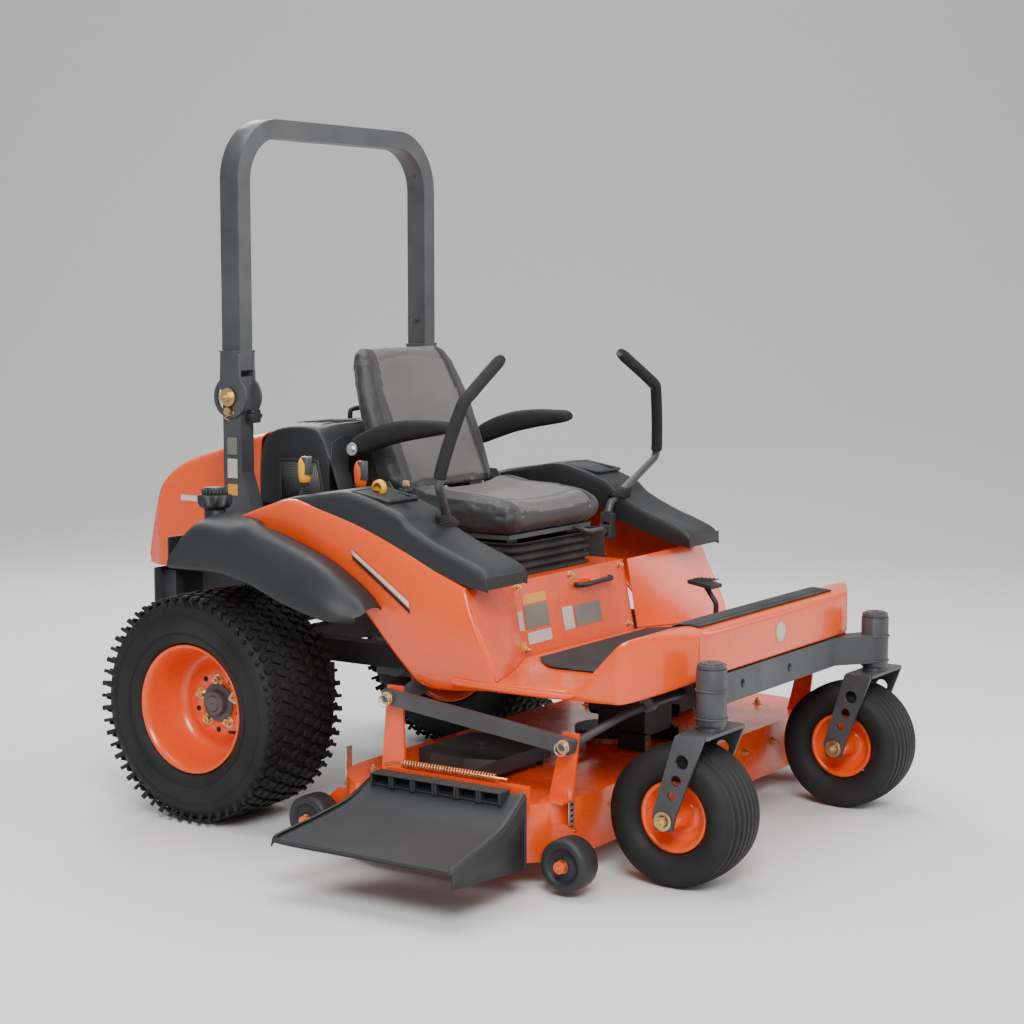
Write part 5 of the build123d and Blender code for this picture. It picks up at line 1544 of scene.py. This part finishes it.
    def gauge_wheels(self):
        """Lathed anti-scalp wheels and their axle bolts."""
        profile = [(-22, 12), (-22, 17), (-20, 19), (-20, 34), (-22, 38), (-30, 42), (-31, 46), (-30, 55),
                   (-24, 61),
                   (-10, 62), (10, 62), (24, 61), (30, 55), (31, 46), (30, 42), (22, 38), (20, 34), (20, 19),
                   (22, 17), (22, 12)]
        for node in ("gauge_wheel_front_left", "gauge_wheel_front_right", "gauge_wheel_rear_left",
                     "gauge_wheel_rear_right"):
            centre = middle(node)
            low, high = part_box(node)
            scale = (high.z - low.z) / 0.124
            shape = bmesh.new()
            rings = []
            for along, radius in profile:
                wide = (high.x - low.x) / 0.062
                rings.append([centre + Vector((along * wide / 1000, radius * scale * math.cos(a) / 1000,
                                               radius * scale * math.sin(a) / 1000))
                              for a in (2 * math.pi * k / 48 for k in range(48))])
            cushion_form(shape, rings)
            body = "gauge_" + node.split("gauge_wheel_")[1]
            place = (centre - DATUM) * 1000
            out = math.copysign(1, place.x)
            bolts(f"{node}_bolt", [(place.x + out * 30, place.y, place.z)], (out, 0, 0), 17, "deck", "copper")
            formed(shape, f"{node}_tread", body, "plastic", "black_plastic",
                  replaces=(node,))

    def belt_covers(self):
        """Knobs on the two belt covers."""
        for side, s in SIDES.items():
            shape = bmesh.new()
            add_disc(shape, at(s * 463, -760, 253), (0, 0, 1), 20, 6, 40)
            add_disc(shape, at(s * 463, -760, 258), (0, 0, 1), 13, 16, 6)
            soften(formed(shape, f"cover_knob_{side}", "deck", "plastic",
                         "black_plastic", smooth=False), 0.0015)


# ---------------------------------------------------------------- stage


class MOWER_OT_stage(bpy.types.Operator):
    """Plain pale floor and backdrop, soft studio lights and the camera"""

    bl_idname = "mower.stage"
    bl_label = "Stage"

    def execute(self, context):
        self.room()
        self.lights(context)
        self.camera(context)
        return {"FINISHED"}

    def room(self):
        """One smooth sheet: floor, bend and wall."""
        shape = bmesh.new()
        rows = []
        for x in (-16, 16):
            row = [Vector((x, -12, 0)), Vector((x, 5, 0))]
            row += [Vector((x, 5 + 4 * math.sin(a), 4 - 4 * math.cos(a)))
                    for a in (math.pi / 2 * k / 24 for k in range(1, 25))]
            row.append(Vector((x, 9, 12)))
            rows.append(row)
        grid(shape, rows)
        g = Graph("studio_paper")
        g.set(Base_Color=(0.74, 0.74, 0.73, 1), Roughness=0.9)
        obj = bpy.data.objects.new("studio_sheet", close(shape, "studio_sheet"))
        obj.data.shade_smooth()
        obj.data.materials.append(g.material)
        obj.rotation_euler = (0, 0, -self.azimuth())
        bpy.context.collection.objects.link(obj)
        obj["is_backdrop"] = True

    def azimuth(self):
        """The view's turn about the vertical, in radians."""
        return math.radians(56.27)

    def lights(self, context):
        """A large soft key, a fill and a top light, with a pale world."""
        world = bpy.data.worlds.new("studio")
        world.use_nodes = True
        background = world.node_tree.nodes["Background"]
        background.inputs["Color"].default_value = (0.86, 0.88, 0.92, 1)
        background.inputs["Strength"].default_value = 0.55
        context.scene.world = world
        low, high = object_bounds()
        target = (low + high) / 2
        for name, place, size, power in (("key", (-4.2, -3.4, 4.6), 3.0, 400),
                                         ("fill", (3.6, -4.4, 2.6), 3.6, 130),
                                         ("top", (0.2, 0.6, 5.4), 4.0, 230),
                                         ("rim", (3.0, 3.6, 3.4), 2.4, 130)):
            data = bpy.data.lights.new(name, "AREA")
            data.shape = "DISK"
            data.size = size
            data.energy = power
            obj = bpy.data.objects.new(name, data)
            obj.location = place
            obj.rotation_euler = (target - Vector(place)).to_track_quat("-Z", "Y").to_euler()
            context.collection.objects.link(obj)

    def camera(self, context):
        """The camera stands low at the machine's front right corner, with a long lens."""
        data = bpy.data.cameras.new("camera")
        data.lens = 73.9
        data.sensor_width = 36
        obj = bpy.data.objects.new("camera", data)
        obj.location = at(-4678.6, -3666.7, 1396.6)
        pitch = math.radians(90 - 6.21)
        obj.rotation_euler = (pitch, 0, -self.azimuth())
        context.collection.objects.link(obj)
        context.scene.camera = obj


# ---------------------------------------------------------------- panel and registration


STEPS = ("rear_wheels", "casters", "side_covers", "fenders", "consoles", "platform", "seat_box", "rear_body",
         "seat", "steering_levers", "hand_controls", "deck", "frame", "stage")


class MOWER_PT_builder(bpy.types.Panel):
    """Lists the pieces and the values they are made with"""

    bl_idname = "MOWER_PT_builder"
    bl_label = "Zero turn mower"
    bl_space_type = "VIEW_3D"
    bl_region_type = "UI"
    bl_category = "Mower"

    def draw(self, context):
        layout = self.layout
        for group in (context.scene.mower_finishes, context.scene.mower_sizes):
            column = layout.column()
            for name in group.__annotations__:
                column.prop(group, name)
        column = layout.column()
        for step in STEPS:
            column.operator(f"mower.{step}")


CLASSES = (MowerFinishes, MowerSizes, MOWER_OT_rear_wheels, MOWER_OT_casters, MOWER_OT_frame,
           MOWER_OT_side_covers, MOWER_OT_fenders, MOWER_OT_consoles, MOWER_OT_platform, MOWER_OT_seat_box,
           MOWER_OT_rear_body, MOWER_OT_seat, MOWER_OT_steering_levers, MOWER_OT_hand_controls, MOWER_OT_deck,
           MOWER_OT_stage, MOWER_PT_builder)


def register():
    """Adds the classes and their settings to Blender."""
    for cls in CLASSES:
        bpy.utils.register_class(cls)
    bpy.types.Scene.mower_finishes = bpy.props.PointerProperty(type=MowerFinishes)
    bpy.types.Scene.mower_sizes = bpy.props.PointerProperty(type=MowerSizes)


def unregister():
    """Takes the settings and classes out again."""
    del bpy.types.Scene.mower_sizes
    del bpy.types.Scene.mower_finishes
    for cls in reversed(CLASSES):
        bpy.utils.unregister_class(cls)


def main():
    """Builds the mower in the order of the panel."""
    register()
    MATERIALS.update(make_materials(bpy.context.scene.mower_finishes))
    for step in STEPS:
        getattr(bpy.ops.mower, step)()


if __name__ == "__main__":
    main()
